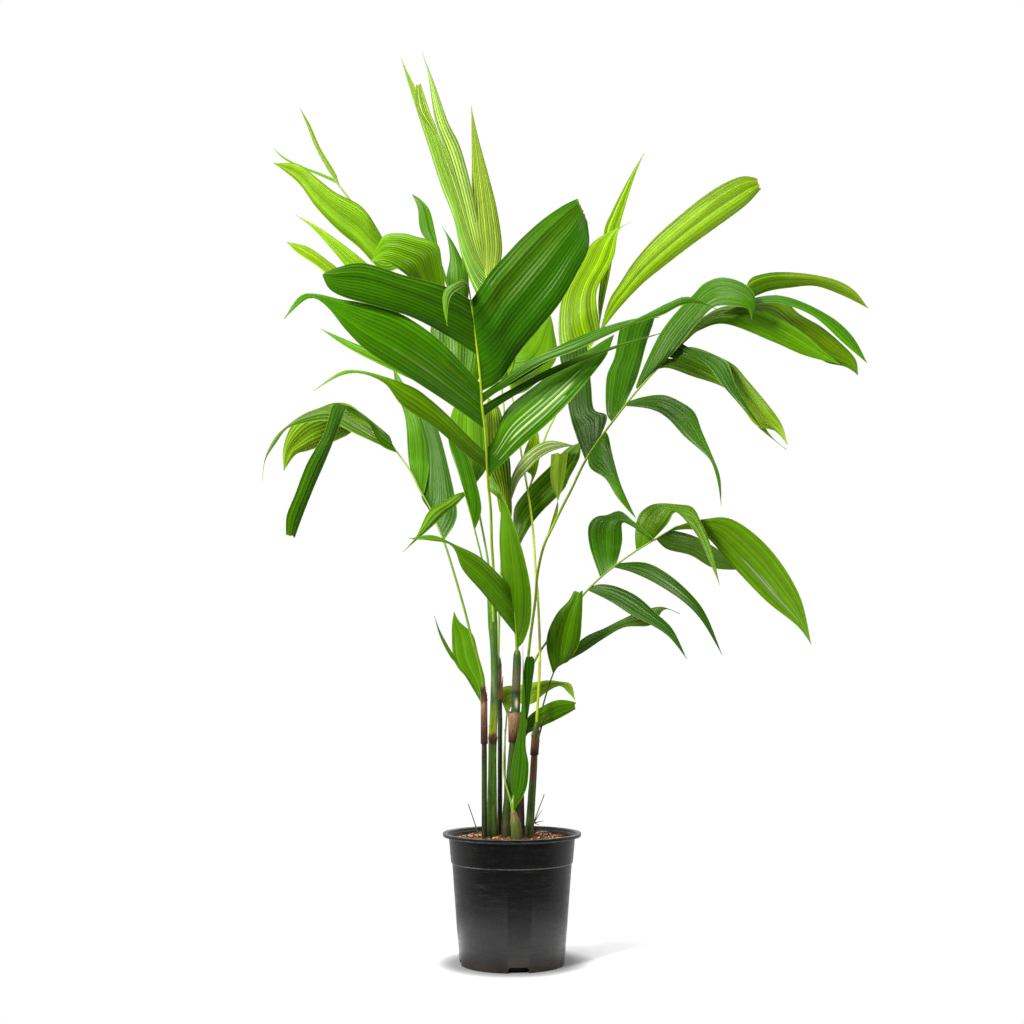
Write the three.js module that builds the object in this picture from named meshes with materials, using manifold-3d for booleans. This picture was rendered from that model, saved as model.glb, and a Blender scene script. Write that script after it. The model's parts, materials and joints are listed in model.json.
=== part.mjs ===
// A clump palm in a round nursery pot: the pot, its soil, the cane stems, their dry sheaths,
// the fronds and suckers, and two twigs. Millimetres, +Z up. The origin is the middle of the
// pot's underside, which stands on z = 0.

import * as THREE from 'three';
import { mergeVertices } from 'three/addons/utils/BufferGeometryUtils.js';
import Module from 'manifold-3d';

const wasm = await Module();
wasm.setup();

// ---------------------------------------------------------------- driving dimensions

const POT_HEIGHT = 219.8;
const POT_RIM_RADIUS = 120;
const POT_BAND_RADIUS = 109.3; // outside of the upper band, just under the rim
const POT_STEP_RADIUS = 105.2; // outside of the upper band at its lower edge
const POT_STEP_HEIGHT = 170;
const POT_STEP_INSET = 2;
const POT_BASE_RADIUS = 90;
const POT_WALL = 2;
const POT_FLOOR = 3;
const FLOOR_ROUND = 3; // rounding inside, where the wall meets the floor
const RIM_SKIRT = 6;
const RIM_TOP_WIDTH = 6;
const RIM_ROUND = 1.2; // rounding of the rim's upper edges
const BASE_ROUND = 1.2; // rounding where the wall meets the underside
const POT_SEGMENTS = 32;

const NOTCH_COUNT = 4;
const NOTCH_WIDTH = 35;
const NOTCH_HEIGHT = 9.5;
const NOTCH_DEPTH = 24; // how far a drain notch reaches in from the wall
const NOTCH_PAST = 8; // how far a notch is cut past the wall's foot
const NOTCH_TURN = THREE.MathUtils.degToRad(7); // the front notch is a little right of the middle
const CHANNEL_WIDTH = 22;
const CHANNEL_HEIGHT = 1.2;
const CHANNEL_START = 34; // the underside is flat inside this radius

const SOIL_TOP = 209; // at the wall
const SOIL_MOUND = 3; // higher in the middle than at the wall
const SOIL_ROUGHNESS = 1.3;
const SOIL_RING_SHARES = [0.7, 0.36]; // where the rough top is higher, as shares of its radius
const SOIL_SEED = 11;

const CLEARANCE = 0.3; // between a piece and what it stands in
const BLADE_THICKNESS = 0.8;
const BLADE_ROWS_LEAST = 3; // steps along a leaflet: one more than its edge has points
const BLADE_ROWS_MOST = 7;
const BLADE_BOW = 0.06; // how far a leaflet bulges across, as a share of its width
const PLEAT_SHARE = 0.24; // height of a pleat, as a share of its own width
const TIP_HALF_WIDTH = 0.6;
const ROOT_FADE = 0.2; // pleats and lean grow over this first share of a leaflet
const SIDE_STEP = 0.02; // share of a leaflet over which its direction is measured
const STEM_SIDES = 9;
const STALK_SIDES = 6;
const TWIG_SIDES = 5;

// Stems and leaves are laid out as the eye in front of the plant sees them: [x, z] is where a
// point appears in the upright plane through the pot's middle (y = 0), and depth is how far
// behind (+) or in front of (-) that plane it really is, along the line of sight.
const EYE = new THREE.Vector3(0, -2510, 481);

// The crown is deeper than the stems' feet: depths grow by this factor between the two heights.
const CROWN_SPREAD = 2.2;
const CROWN_FOOT = 300;
const CROWN_TOP = 900;

// ---------------------------------------------------------------- solids

function solidFrom(points, triangles) {
  return new wasm.Manifold(new wasm.Mesh({
    numProp: 3,
    vertProperties: new Float32Array(points.flatMap((point) => [point.x, point.y, point.z])),
    triVerts: new Uint32Array(triangles.flat()),
  }));
}

function solidOf(geometry) {
  geometry.deleteAttribute('normal');
  geometry.deleteAttribute('uv');
  const merged = mergeVertices(geometry);
  const place = merged.getAttribute('position');
  const points = [];
  for (let i = 0; i < place.count; i += 1) {
    points.push(new THREE.Vector3().fromBufferAttribute(place, i));
  }
  const triangles = [];
  for (let i = 0; i < merged.index.count; i += 3) {
    const corner = [0, 1, 2].map((step) => merged.index.getX(i + step));
    if (new Set(corner).size === 3) triangles.push(corner);
  }
  return solidFrom(points, triangles);
}

function meshOf(name, solid, colour, roughness) {
  const skin = solid.getMesh();
  const geometry = new THREE.BufferGeometry();
  geometry.setAttribute('position', new THREE.BufferAttribute(skin.vertProperties, 3));
  geometry.setIndex(new THREE.BufferAttribute(skin.triVerts, 1));
  geometry.computeVertexNormals();
  const material = new THREE.MeshStandardMaterial({ color: colour, roughness, metalness: 0 });
  const mesh = new THREE.Mesh(geometry, material);
  mesh.name = name;
  return mesh;
}

function randomFrom(seed) {
  let state = seed;
  return () => {
    state = (state * 16807) % 2147483647;
    return state / 2147483647;
  };
}

// ---------------------------------------------------------------- layout

function spread(z) {
  return 1 + (CROWN_SPREAD - 1) * THREE.MathUtils.smoothstep(z, CROWN_FOOT, CROWN_TOP);
}

function sight(x, z, depth) {
  const y = depth * spread(z);
  const reach = (y - EYE.y) / -EYE.y;
  return new THREE.Vector3(x * reach, y, EYE.z + (z - EYE.z) * reach);
}

function seen(point) {
  const reach = (point.y - EYE.y) / -EYE.y;
  const z = EYE.z + (point.z - EYE.z) / reach;
  return { flat: new THREE.Vector2(point.x / reach, z), depth: point.y / spread(z) };
}

// A stalk is a list of [x, z, depth, radius], from its foot to its end.
function curveOf(stalk) {
  const points = stalk.map(([x, z, depth]) => sight(x, z, depth));
  return new THREE.CatmullRomCurve3(points, false, 'catmullrom', 0.5);
}

// A round stalk with a given radius at each of its points. With grow it is the room that the
// stalk needs: that much wider, and that much longer at both ends.
function stalkSolid(stalk, sides, grow = 0) {
  const curve = curveOf(stalk);
  const spans = stalk.length - 1;
  const points = [];
  const triangles = [];
  const across = new THREE.Vector3(1, 0, 0);
  for (let row = 0; row <= spans; row += 1) {
    const tangent = curve.getTangent(row / spans);
    const centre = curve.getPoint(row / spans);
    if (row === 0) centre.addScaledVector(tangent, -grow);
    if (row === spans) centre.addScaledVector(tangent, grow);
    across.addScaledVector(tangent, -across.dot(tangent)).normalize();
    const other = new THREE.Vector3().crossVectors(tangent, across);
    const radius = stalk[row][3] + grow;
    for (let side = 0; side < sides; side += 1) {
      const angle = (side / sides) * 2 * Math.PI;
      points.push(centre.clone()
        .addScaledVector(across, radius * Math.cos(angle))
        .addScaledVector(other, radius * Math.sin(angle)));
    }
  }
  const at = (row, side) => row * sides + (side % sides);
  for (let row = 0; row < spans; row += 1) {
    for (let side = 0; side < sides; side += 1) {
      triangles.push([at(row, side), at(row, side + 1), at(row + 1, side + 1)]);
      triangles.push([at(row, side), at(row + 1, side + 1), at(row + 1, side)]);
    }
  }
  for (let side = 1; side < sides - 1; side += 1) {
    triangles.push([at(0, 0), at(0, side + 1), at(0, side)]);
    triangles.push([at(spans, 0), at(spans, side), at(spans, side + 1)]);
  }
  return solidFrom(points, triangles);
}

function quadratic(start, middle, end, t) {
  return start * (1 - t) * (1 - 2 * t) + middle * 4 * t * (1 - t) + end * t * (2 * t - 1);
}

// A leaflet between its two edges a and b, which run from the roots to the tip. A tip of one
// point is sharp, and a tip of two points is cut off blunt. depth is at half length and at the
// tip, lean sets edge a back and edge b forward, and each rib is one ridge along the leaflet.
function leafSolid(rootA, rootB, leaf) {
  const [endA, endB] = Array.isArray(leaf.tip[0]) ? leaf.tip : [leaf.tip, leaf.tip];
  const seenA = seen(rootA);
  const seenB = seen(rootB);
  const edge = (root, between, end) => new THREE.SplineCurve(
    [root.flat, ...between.map(([x, z]) => new THREE.Vector2(x, z)), new THREE.Vector2(...end)],
  );
  const edgeA = edge(seenA, leaf.a, endA);
  const edgeB = edge(seenB, leaf.b, endB);
  const [middle, end] = leaf.depth;
  const strips = 2 * leaf.ribs;
  const rows = THREE.MathUtils.clamp(
    Math.max(leaf.a.length, leaf.b.length) + 1, BLADE_ROWS_LEAST, BLADE_ROWS_MOST,
  );

  const edgesAt = (t) => {
    const flatA = edgeA.getPointAt(t);
    const flatB = edgeB.getPointAt(t);
    const tilt = 0.5 * (leaf.lean ?? 0) * flatA.distanceTo(flatB) * Math.min(1, t / ROOT_FADE);
    return [
      sight(flatA.x, flatA.y, quadratic(seenA.depth, middle, end, t) + tilt),
      sight(flatB.x, flatB.y, quadratic(seenB.depth, middle, end, t) - tilt),
    ];
  };
  const middleAt = (t) => {
    const [pointA, pointB] = edgesAt(THREE.MathUtils.clamp(t, 0, 1));
    return pointA.add(pointB).multiplyScalar(0.5);
  };

  const top = [];
  const bottom = [];
  const across = new THREE.Vector3();
  for (let row = 0; row <= rows; row += 1) {
    const t = row / rows;
    const [pointA, pointB] = edgesAt(t);
    const width = pointA.distanceTo(pointB);
    if (width > 2 * TIP_HALF_WIDTH) across.subVectors(pointB, pointA).normalize();
    const along = middleAt(t + SIDE_STEP).sub(middleAt(t - SIDE_STEP));
    const out = new THREE.Vector3().crossVectors(across, along).normalize();
    const half = Math.max(width / 2, TIP_HALF_WIDTH);
    const centre = pointA.add(pointB).multiplyScalar(0.5);
    const fade = Math.min(1, t / ROOT_FADE);
    for (let line = 0; line <= strips; line += 1) {
      const share = line / strips;
      const bow = BLADE_BOW * 4 * share * (1 - share);
      const pleat = ((line % 2) - 0.5) * (PLEAT_SHARE / strips);
      const point = centre.clone()
        .addScaledVector(across, (2 * share - 1) * half)
        .addScaledVector(out, (bow + pleat) * 2 * half * fade);
      top.push(point.clone().addScaledVector(out, BLADE_THICKNESS / 2));
      bottom.push(point.clone().addScaledVector(out, -BLADE_THICKNESS / 2));
    }
  }

  const above = (row, line) => row * (strips + 1) + line;
  const below = (row, line) => top.length + above(row, line);
  const triangles = [];
  const quad = (p, q, r, s) => triangles.push([p, q, r], [p, r, s]);
  for (let row = 0; row < rows; row += 1) {
    for (let line = 0; line < strips; line += 1) {
      quad(above(row, line), above(row, line + 1), above(row + 1, line + 1), above(row + 1, line));
      triangles.push([below(row, line), below(row + 1, line + 1), below(row, line + 1)]);
      triangles.push([below(row, line), below(row + 1, line), below(row + 1, line + 1)]);
    }
    quad(above(row, 0), above(row + 1, 0), below(row + 1, 0), below(row, 0));
    quad(above(row, strips), below(row, strips), below(row + 1, strips), above(row + 1, strips));
  }
  for (let line = 0; line < strips; line += 1) {
    quad(above(0, line), below(0, line), below(0, line + 1), above(0, line + 1));
    quad(above(rows, line), above(rows, line + 1),
      below(rows, line + 1), below(rows, line));
  }
  return solidFrom([...top, ...bottom], triangles);
}

// A frond is its stalk and its leaflets, fused. A leaflet's roots are two places on the stalk,
// counted in points from the stalk's foot.
function frondSolid(frond) {
  const curve = curveOf(frond.stalk);
  const spans = frond.stalk.length - 1;
  const leaves = frond.leaves.map((leaf) => {
    const [rootA, rootB] = leaf.at.map((place) => curve.getPoint(place / spans));
    return leafSolid(rootA, rootB, leaf);
  });
  return leaves.reduce((solid, leaf) => solid.add(leaf), stalkSolid(frond.stalk, STALK_SIDES));
}

// ---------------------------------------------------------------- stems
// Each is a list of [x, z, depth, radius] from its buried foot to its top.

const stems = {
  stem_left_slim: {
    colour: 0x5f8a3c,
    stalk: [[-47.4, 151, -12, 4.2], [-47.9, 219, -12, 4.8], [-48.2, 338, -12, 4.6],
      [-48.5, 374, -12, 4.5], [-49, 447, -12, 4.2], [-50.3, 473, -12, 4.1]],
  },
  stem_left_main: {
    colour: 0x6f9a3a,
    stalk: [[-34.9, 151, 8, 8], [-35, 215, 8, 11.3], [-34.7, 249, 8, 8.8], [-34.1, 350, 8, 7.2],
      [-33.8, 372, 8, 7.3], [-33.5, 381, 8, 8.2], [-33.4, 390, 8, 7.3], [-31.5, 436, 8, 6.9],
      [-30.7, 489, 8, 6.4], [-31.6, 534, 8, 6.6], [-34.3, 587, 8, 8.4], [-36.2, 639, 7, 8.2]],
  },
  stem_back_left: {
    colour: 0x3f5a2a,
    stalk: [[-21, 151, 40, 4.4], [-21.1, 219, 40, 4.4], [-20.9, 343, 40, 4],
      [-21.3, 447, 40, 4.1], [-23.5, 522, 40, 4.3]],
  },
  stem_back_thin: {
    colour: 0x3b4a2a,
    stalk: [[-12.1, 151, 62, 1.8], [-12.1, 227, 62, 2], [-12.2, 397, 61, 1.1]],
  },
  stem_centre: {
    colour: 0x5c7a3a,
    stalk: [[-10.4, 151, 2, 7], [-10.4, 215, 2, 9], [-9.5, 249, 2, 7.5], [-3.5, 317, 1, 6.2],
      [1.4, 374, 0, 6], [6.1, 426, 0, 7.8], [7, 464, 0, 7.4], [8.6, 504, 0, 7.4],
      [9.1, 534, -2, 6.4]],
  },
  stump_front: {
    colour: 0x6a6a35,
    stalk: [[7.8, 151, -38, 8], [7.8, 213, -38, 9.6], [6.1, 234, -38, 9], [2.6, 254, -38, 5.6]],
  },
  stem_fibrous: {
    colour: 0x5a4030,
    stalk: [[17.3, 151, 14, 4.4], [17.3, 219, 14, 4.8], [15.6, 292, 14, 5.2],
      [13.6, 329, 14.5, 8], [13.6, 360, 14.5, 9.2]],
  },
  stem_right: {
    colour: 0x6b6a3a,
    stalk: [[29.3, 151, 2, 6], [29.4, 215, 2, 7.4], [32.1, 258, 2, 6.4], [36.5, 326, 3, 5.2],
      [40.1, 369, 4.5, 5.6], [43, 409, 6.4, 5.2]],
  },
  stem_back_hidden: {
    colour: 0x4a5f2c,
    stalk: [[9.5, 151, 58, 4], [9.5, 215, 58, 4.4], [8.7, 343, 56, 4.4], [8.7, 416, 56, 4.3]],
  },
};

// ---------------------------------------------------------------- fronds, suckers, leaves
// holder is the stem that the stalk's foot sits in, or the soil.

const foliage = {
  // The nearest frond, which leans towards the eye.
  frond_front: {
    holder: 'stem_left_main',
    colour: 0x3f8a1c,
    stalk: [[-33, 583, 4, 2.6], [-35, 631, 3, 2.6], [-33, 671, -3, 2.6], [-36, 723, -20, 2.6],
      [-38, 783, -42, 2.5], [-43, 835, -62, 2.5], [-45, 884, -80, 2.4], [-48, 926, -95, 2.3],
      [-53, 966, -108, 2.2], [-56, 1010, -120, 2.1], [-61, 1061, -132, 2],
      [-69, 1122, -145, 1.8], [-74, 1164, -155, 1.6]],
    leaves: [
      {
        at: [10, 12], ribs: 2, lean: 0.15, depth: [-165, -175], tip: [-344, 1211],
        a: [[-123, 1101], [-179, 1131], [-233, 1149], [-300, 1168], [-331, 1185]],
        b: [[-121, 1189], [-198, 1211], [-272, 1233], [-330, 1220]],
      },
      {
        at: [7, 9], ribs: 2, lean: 0.15, depth: [-150, -165], tip: [-412, 1129],
        a: [[-81, 951], [-129, 984], [-182, 1019], [-258, 1068], [-299, 1108], [-328, 1145],
          [-353, 1166], [-375, 1164]],
        b: [[-130, 1089], [-204, 1140], [-271, 1159], [-311, 1166], [-355, 1176], [-385, 1171]],
      },
      {
        at: [5.3, 6], ribs: 2, lean: 0.1, depth: [-115, -120], tip: [-357, 997],
        a: [[-86, 884], [-136, 928], [-196, 969], [-228, 1010], [-272, 1029], [-310, 1024]],
        b: [[-82, 919], [-115, 953], [-147, 982], [-180, 1005], [-241, 1027], [-281, 1035],
          [-312, 1030]],
      },
      {
        at: [7.9, 8.2], ribs: 1, depth: [-100, -95], tip: [-345, 1111],
        a: [[-129, 995], [-212, 1033], [-294, 1075]],
        b: [[-129, 1006], [-211, 1054], [-289, 1087]],
      },
      {
        at: [11.6, 12], ribs: 1, depth: [-175, -190], tip: [-117, 1116],
        a: [[-81, 1188], [-100, 1183], [-112, 1168], [-116, 1146]],
        b: [[-83, 1201], [-105, 1196], [-123, 1181], [-125, 1155]],
      },
      {
        at: [12, 8.7], ribs: 3, lean: -0.1, depth: [-160, -165], tip: [[120, 1355], [138, 1312]],
        a: [[-62, 1181], [-36, 1220], [-11, 1248], [17, 1279], [55, 1314], [93, 1341]],
        b: [[-20, 1017], [14, 1068], [83, 1153], [118, 1214], [140, 1263]],
      },
      {
        at: [8.6, 8.2], ribs: 1, lean: 0.1, depth: [-150, -150], tip: [383, 1140],
        a: [[-13, 1021], [32, 1054], [94, 1079], [162, 1107], [209, 1123], [247, 1141],
          [284, 1160], [322, 1170]],
        b: [[-9, 1008], [56, 1048], [117, 1072], [170, 1098], [231, 1125], [272, 1137],
          [307, 1155], [344, 1157]],
      },
      {
        at: [8.4, 8.3], ribs: 1, lean: 0.1, depth: [-135, -130], tip: [267, 1133],
        a: [[10, 1038], [86, 1081], [159, 1112], [223, 1130]],
        b: [[18, 1021], [90, 1066], [162, 1100], [226, 1122]],
      },
      {
        at: [8.1, 7.6], ribs: 1, depth: [-125, -125], tip: [289, 1109],
        a: [[-9, 996], [79, 1043], [182, 1079]],
        b: [[-10, 979], [79, 1030], [179, 1072]],
      },
      {
        at: [6.2, 5.1], ribs: 2, lean: 0.1, depth: [-110, -115], tip: [184, 1100],
        a: [[-32, 911], [-11, 962], [40, 1006], [97, 1048], [141, 1074], [164, 1089]],
        b: [[13, 893], [63, 937], [104, 979], [140, 1022], [167, 1057], [178, 1081]],
      },
    ],
  },

  // The young frond low in the middle.
  frond_young: {
    holder: 'stem_centre',
    colour: 0x4f9226,
    stalk: [[10, 464, 0, 2.4], [9, 508, -1, 2.4], [9, 548, -10, 2.3], [5, 604, -24, 2],
      [4, 639, -30, 1.6]],
    leaves: [
      {
        at: [4, 1.75], ribs: 2, lean: 0.2, depth: [-45, -40], tip: [-37, 843],
        a: [[-16, 655], [-23, 723], [-20, 791], [-25, 809], [-45, 820]],
        b: [[21, 550], [32, 587], [32, 641], [20, 701], [7, 742], [-7, 783], [-23, 819]],
      },
      {
        at: [2.2, 3.5], ribs: 2, lean: 0.1, depth: [-50, -55], tip: [-183, 730],
        a: [[-21, 595], [-51, 633], [-87, 675], [-106, 717], [-145, 727]],
        b: [[-7, 648], [-53, 695], [-101, 720], [-142, 737]],
      },
    ],
  },

  frond_small_left: {
    holder: 'stem_left_main',
    colour: 0x5da02b,
    stalk: [[-41, 590, 7, 1.6], [-43, 631, 6, 1.6], [-48, 671, 1, 1.6], [-57, 710, -5, 1.6],
      [-66, 746, -9, 1.5], [-76, 783, -12, 1.4], [-85, 814, -14, 1.2]],
    leaves: [
      {
        at: [6, 4], ribs: 1, lean: 0.2, depth: [-20, -20], tip: [-116, 935],
        a: [[-91, 833], [-103, 873], [-115, 911]],
        b: [[-56, 783], [-68, 843], [-86, 890]],
      },
      {
        at: [6, 5], ribs: 2, lean: 0.1, depth: [0, 20], tip: [-83, 1000],
        a: [[-96, 849], [-114, 907], [-108, 959]],
        b: [[-65, 827], [-45, 861], [-45, 926], [-56, 971]],
      },
      {
        at: [5.8, 6], ribs: 1, lean: 0.2, depth: [-35, -55], tip: [-193, 707],
        a: [[-99, 790], [-117, 776], [-138, 755]],
        b: [[-100, 810], [-121, 796], [-148, 779], [-169, 736]],
      },
    ],
  },

  frond_upper_left: {
    holder: 'stem_left_main',
    colour: 0x63a52c,
    stalk: [[-36, 587, 11.5, 2], [-38, 631, 11.5, 2], [-42, 685, 20, 2], [-48, 723, 30, 2],
      [-60, 783, 42, 2], [-73, 839, 54, 1.9], [-84, 890, 64, 1.9], [-101, 999, 84, 1.8],
      [-121, 1109, 100, 1.7], [-158, 1196, 112, 1.7], [-196, 1233, 118, 2],
      [-238, 1280, 122, 2.2], [-288, 1342, 128, 2.2], [-325, 1391, 130, 1.6]],
    leaves: [
      {
        at: [12.5, 13], ribs: 1, depth: [132, 128], tip: [-390, 1526],
        a: [[-336, 1406], [-361, 1452], [-376, 1491]],
        b: [[-322, 1401], [-351, 1450], [-371, 1495]],
      },
      {
        at: [12.8, 13], ribs: 1, depth: [126, 120], tip: [-438, 1450],
        a: [[-344, 1394], [-387, 1413], [-418, 1429]],
        b: [[-346, 1401], [-390, 1418], [-419, 1434]],
      },
      {
        at: [9.9, 11], ribs: 2, lean: 0.2, depth: [112, 100], tip: [-436, 1421],
        a: [[-234, 1218], [-279, 1262], [-317, 1294], [-358, 1338], [-391, 1384]],
        b: [[-242, 1293], [-275, 1339], [-323, 1366], [-358, 1394], [-391, 1419]],
      },
      {
        at: [8.6, 9.2], ribs: 1, depth: [95, 85], tip: [-394, 1323],
        a: [[-217, 1161], [-290, 1216], [-327, 1258], [-362, 1297]],
        b: [[-212, 1188], [-252, 1224], [-306, 1268], [-356, 1303]],
      },
      {
        at: [8.2, 8.6], ribs: 1, depth: [85, 70], tip: [-409, 1272],
        a: [[-230, 1148], [-302, 1183], [-351, 1225], [-390, 1252]],
        b: [[-224, 1166], [-290, 1203], [-330, 1235], [-372, 1264]],
      },
      {
        at: [8.7, 7.9], ribs: 3, lean: -0.1, depth: [60, 45], tip: [-256, 1235],
        a: [[-170, 1192], [-203, 1220], [-230, 1235]],
        b: [[-121, 1185], [-127, 1235], [-136, 1270], [-171, 1282], [-202, 1289], [-235, 1282]],
      },
      {
        at: [7.3, 6.8], ribs: 3, depth: [88, 84], tip: [-103, 1164],
        a: [[-124, 1035], [-146, 1081], [-141, 1131]],
        b: [[-65, 1008], [-49, 1063], [-61, 1131]],
      },
    ],
  },

  // The newest, upright frond.
  frond_spear: {
    holder: 'stem_back_left',
    colour: 0x86c22e,
    stalk: [[-22, 464, 40, 2.4], [-24, 525, 40, 2.3], [-20, 666, 48, 2.2], [-12, 728, 52, 2.2],
      [-2, 776, 55, 2.1], [-5, 825, 57, 2.1], [-7, 866, 60, 2.1], [-16, 980, 64, 2],
      [-31, 1109, 66, 2], [-40, 1174, 66, 1.9], [-51, 1235, 64, 1.6]],
    leaves: [
      {
        at: [8.6, 10], ribs: 1, lean: 0.1, depth: [82, 84], tip: [-205, 1622],
        a: [[-62, 1170], [-92, 1243], [-107, 1315], [-131, 1380], [-154, 1454], [-175, 1520],
          [-193, 1579]],
        b: [[-69, 1276], [-91, 1351], [-119, 1427], [-145, 1504], [-179, 1568]],
      },
      {
        at: [9.3, 9.8], ribs: 1, depth: [68, 64], tip: [[-177, 1572], [-168, 1574]],
        a: [[-76, 1257], [-104, 1351], [-139, 1465], [-175, 1521]],
        b: [[-62, 1276], [-88, 1370], [-121, 1446], [-145, 1503]],
      },
      {
        at: [9.6, 10], ribs: 1, lean: 0.1, depth: [52, 46], tip: [-166, 1634],
        a: [[-69, 1257], [-91, 1342], [-115, 1427], [-138, 1491], [-147, 1534], [-155, 1592]],
        b: [[-55, 1276], [-67, 1342], [-81, 1404], [-97, 1458], [-117, 1499], [-142, 1571]],
      },
      {
        at: [9.7, 9], ribs: 2, lean: -0.2, depth: [62, 60], tip: [-75, 1530],
        a: [[-54, 1235], [-69, 1295], [-73, 1370], [-74, 1446]],
        b: [[-20, 1235], [-18, 1276], [-28, 1340], [-43, 1400], [-61, 1467]],
      },
      {
        at: [5.1, 4.4], ribs: 1, lean: 0.2, depth: [40, 46], tip: [113, 897],
        a: [[8, 862], [32, 891], [68, 907]],
        b: [[9, 830], [23, 848], [53, 878], [86, 893]],
      },
      {
        at: [8, 7.3], ribs: 1, depth: [72, 76], tip: [-7, 1100],
        a: [[-36, 1021], [-32, 1068]],
        b: [[-9, 1009], [7, 1063]],
      },
      {
        at: [4.2, 3.6], ribs: 2, lean: 0.1, depth: [46, 40], tip: [-43, 984],
        a: [[-20, 775], [-30, 817], [-45, 850], [-55, 908]],
        b: [[-2, 839], [-5, 881], [-13, 926], [-23, 966]],
      },
    ],
  },

  frond_back: {
    holder: 'stem_right',
    colour: 0x6fae2c,
    stalk: [[39, 352, 4, 2.5], [43, 409, 6.4, 2.5], [47, 473, 8, 2.4], [49, 536, 10, 2.3],
      [46, 620, 16, 2.2], [42, 671, 22, 2.1], [39, 723, 30, 2.1], [34, 776, 40, 2],
      [25, 835, 54, 2], [16, 888, 70, 1.9], [-2, 999, 98, 1.8], [-22, 1090, 120, 1.7],
      [-58, 1137, 134, 1.5], [-94, 1161, 144, 1.3], [-114, 1179, 150, 1.1]],
    leaves: [
      {
        at: [11, 9.9], ribs: 2, lean: 0.1, depth: [112, 120], tip: [70, 1135],
        a: [[13, 1072], [42, 1112]],
        b: [[32, 1002], [79, 1054], [76, 1108]],
      },
      {
        at: [14, 13.6], ribs: 1, depth: [160, 165], tip: [-183, 1363],
        a: [[-145, 1257], [-167, 1295], [-172, 1336]],
        b: [[-130, 1242], [-138, 1284], [-149, 1330], [-165, 1351]],
      },
      {
        at: [13.4, 12.9], ribs: 1, depth: [140, 140], tip: [-127, 1301],
        a: [[-119, 1201], [-113, 1242], [-118, 1280]],
        b: [[-78, 1201], [-89, 1235], [-106, 1270]],
      },
      {
        at: [12.8, 12.6], ribs: 1, depth: [128, 128], tip: [-91, 1263],
        a: [[-87, 1192], [-91, 1229]],
        b: [[-78, 1192], [-83, 1231]],
      },
    ],
  },

  frond_left: {
    holder: 'stem_left_slim',
    colour: 0x4b8f22,
    stalk: [[-49, 426, -12, 2.2], [-51, 475, -12, 2.2], [-60, 516, -12, 2.2],
      [-71.5, 557, -12, 2.1], [-83.5, 604, -11, 2.1], [-101.5, 666, -9, 2], [-119, 721, -5, 2],
      [-142, 778, 0, 1.9], [-164, 818, 4, 1.8], [-180, 850, 8, 1.7], [-204, 884, 12, 1.5],
      [-236, 926, 2, 1.4], [-283, 964, -18, 1.3], [-307, 973, -26, 1]],
    leaves: [
      {
        at: [10, 10.6], ribs: 1, depth: [-4, -24], tip: [[-299, 962], [-299, 973]],
        a: [[-235, 899], [-255, 936], [-279, 951]],
        b: [[-218, 914], [-250, 942], [-274, 960]],
      },
      {
        at: [12.4, 13], ribs: 1, lean: 0.3, depth: [-45, -50], tip: [[-385, 732], [-401, 735]],
        a: [[-298, 962], [-311, 926], [-332, 871], [-351, 825], [-369, 778]],
        b: [[-322, 969], [-336, 919], [-365, 866], [-386, 809], [-400, 771]],
      },
      {
        at: [10, 10.3], ribs: 1, depth: [25, 20], tip: [-445, 834],
        a: [[-287, 922], [-326, 942], [-367, 939], [-401, 929], [-421, 903], [-440, 871]],
        b: [[-285, 946], [-325, 969], [-370, 956], [-402, 934], [-424, 912], [-441, 875]],
      },
      {
        at: [10.6, 11.2], ribs: 2, lean: 0.2, depth: [45, 50], tip: [-407, 852],
        a: [[-270, 929], [-298, 914], [-332, 899], [-364, 888], [-386, 881]],
        b: [[-287, 969], [-317, 975], [-347, 965], [-377, 952], [-398, 927], [-409, 890]],
      },
      {
        at: [9, 7.7], ribs: 1, lean: 0.2, depth: [28, 36], tip: [-214, 1041],
        a: [[-186, 881], [-192, 948], [-207, 993]],
        b: [[-150, 854], [-157, 926], [-183, 990]],
      },
      {
        at: [7.6, 6.1], ribs: 2, lean: 0.2, depth: [10, 16], tip: [-165, 990],
        a: [[-161, 808], [-154, 890], [-168, 953]],
        b: [[-101, 760], [-100, 794], [-119, 880], [-136, 935]],
      },
    ],
  },

  sucker_left: {
    holder: 'soil',
    colour: 0x4f9a22,
    stalk: [[-48, 151, 6, 2], [-48, 219, 6, 2], [-49, 343, 6, 1.9], [-52, 412, 5, 1.8],
      [-54, 452, 3, 1.5]],
    leaves: [
      {
        at: [4, 3.6], ribs: 2, lean: 0.2, depth: [6, 2], tip: [-102, 601],
        a: [[-71, 477], [-101, 513], [-106, 569]],
        b: [[-47, 477], [-59, 525], [-69, 561], [-92, 583]],
      },
      {
        at: [3.7, 3.95], ribs: 1, depth: [10, 15], tip: [-137, 594],
        a: [[-89, 499], [-110, 524], [-127, 558]],
        b: [[-86, 506], [-105, 530], [-125, 565]],
      },
    ],
  },

  leaf_arching: {
    holder: 'soil',
    colour: 0x76b52c,
    stalk: [[1, 151, -22, 1.8], [0, 215, -22, 1.8], [-1, 265, -18, 1.8], [-14, 319, -4, 1.7],
      [-12, 379, 20, 1.6], [-9, 423, 42, 1.4]],
    leaves: [
      {
        at: [5, 4.8], ribs: 2, depth: [52, 58], tip: [110, 447],
        a: [[-19, 449], [-17, 469], [14, 473], [60, 481], [84, 479], [104, 474]],
        b: [[3, 440], [35, 440], [57, 458], [83, 471], [98, 460]],
      },
    ],
  },

  leaf_low: {
    holder: 'soil',
    colour: 0x2f7a14,
    stalk: [[14, 151, 34, 1.8], [16, 215, 34, 1.8], [19, 309, 34, 1.7], [23, 386, 30, 1.5]],
    leaves: [
      {
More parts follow.
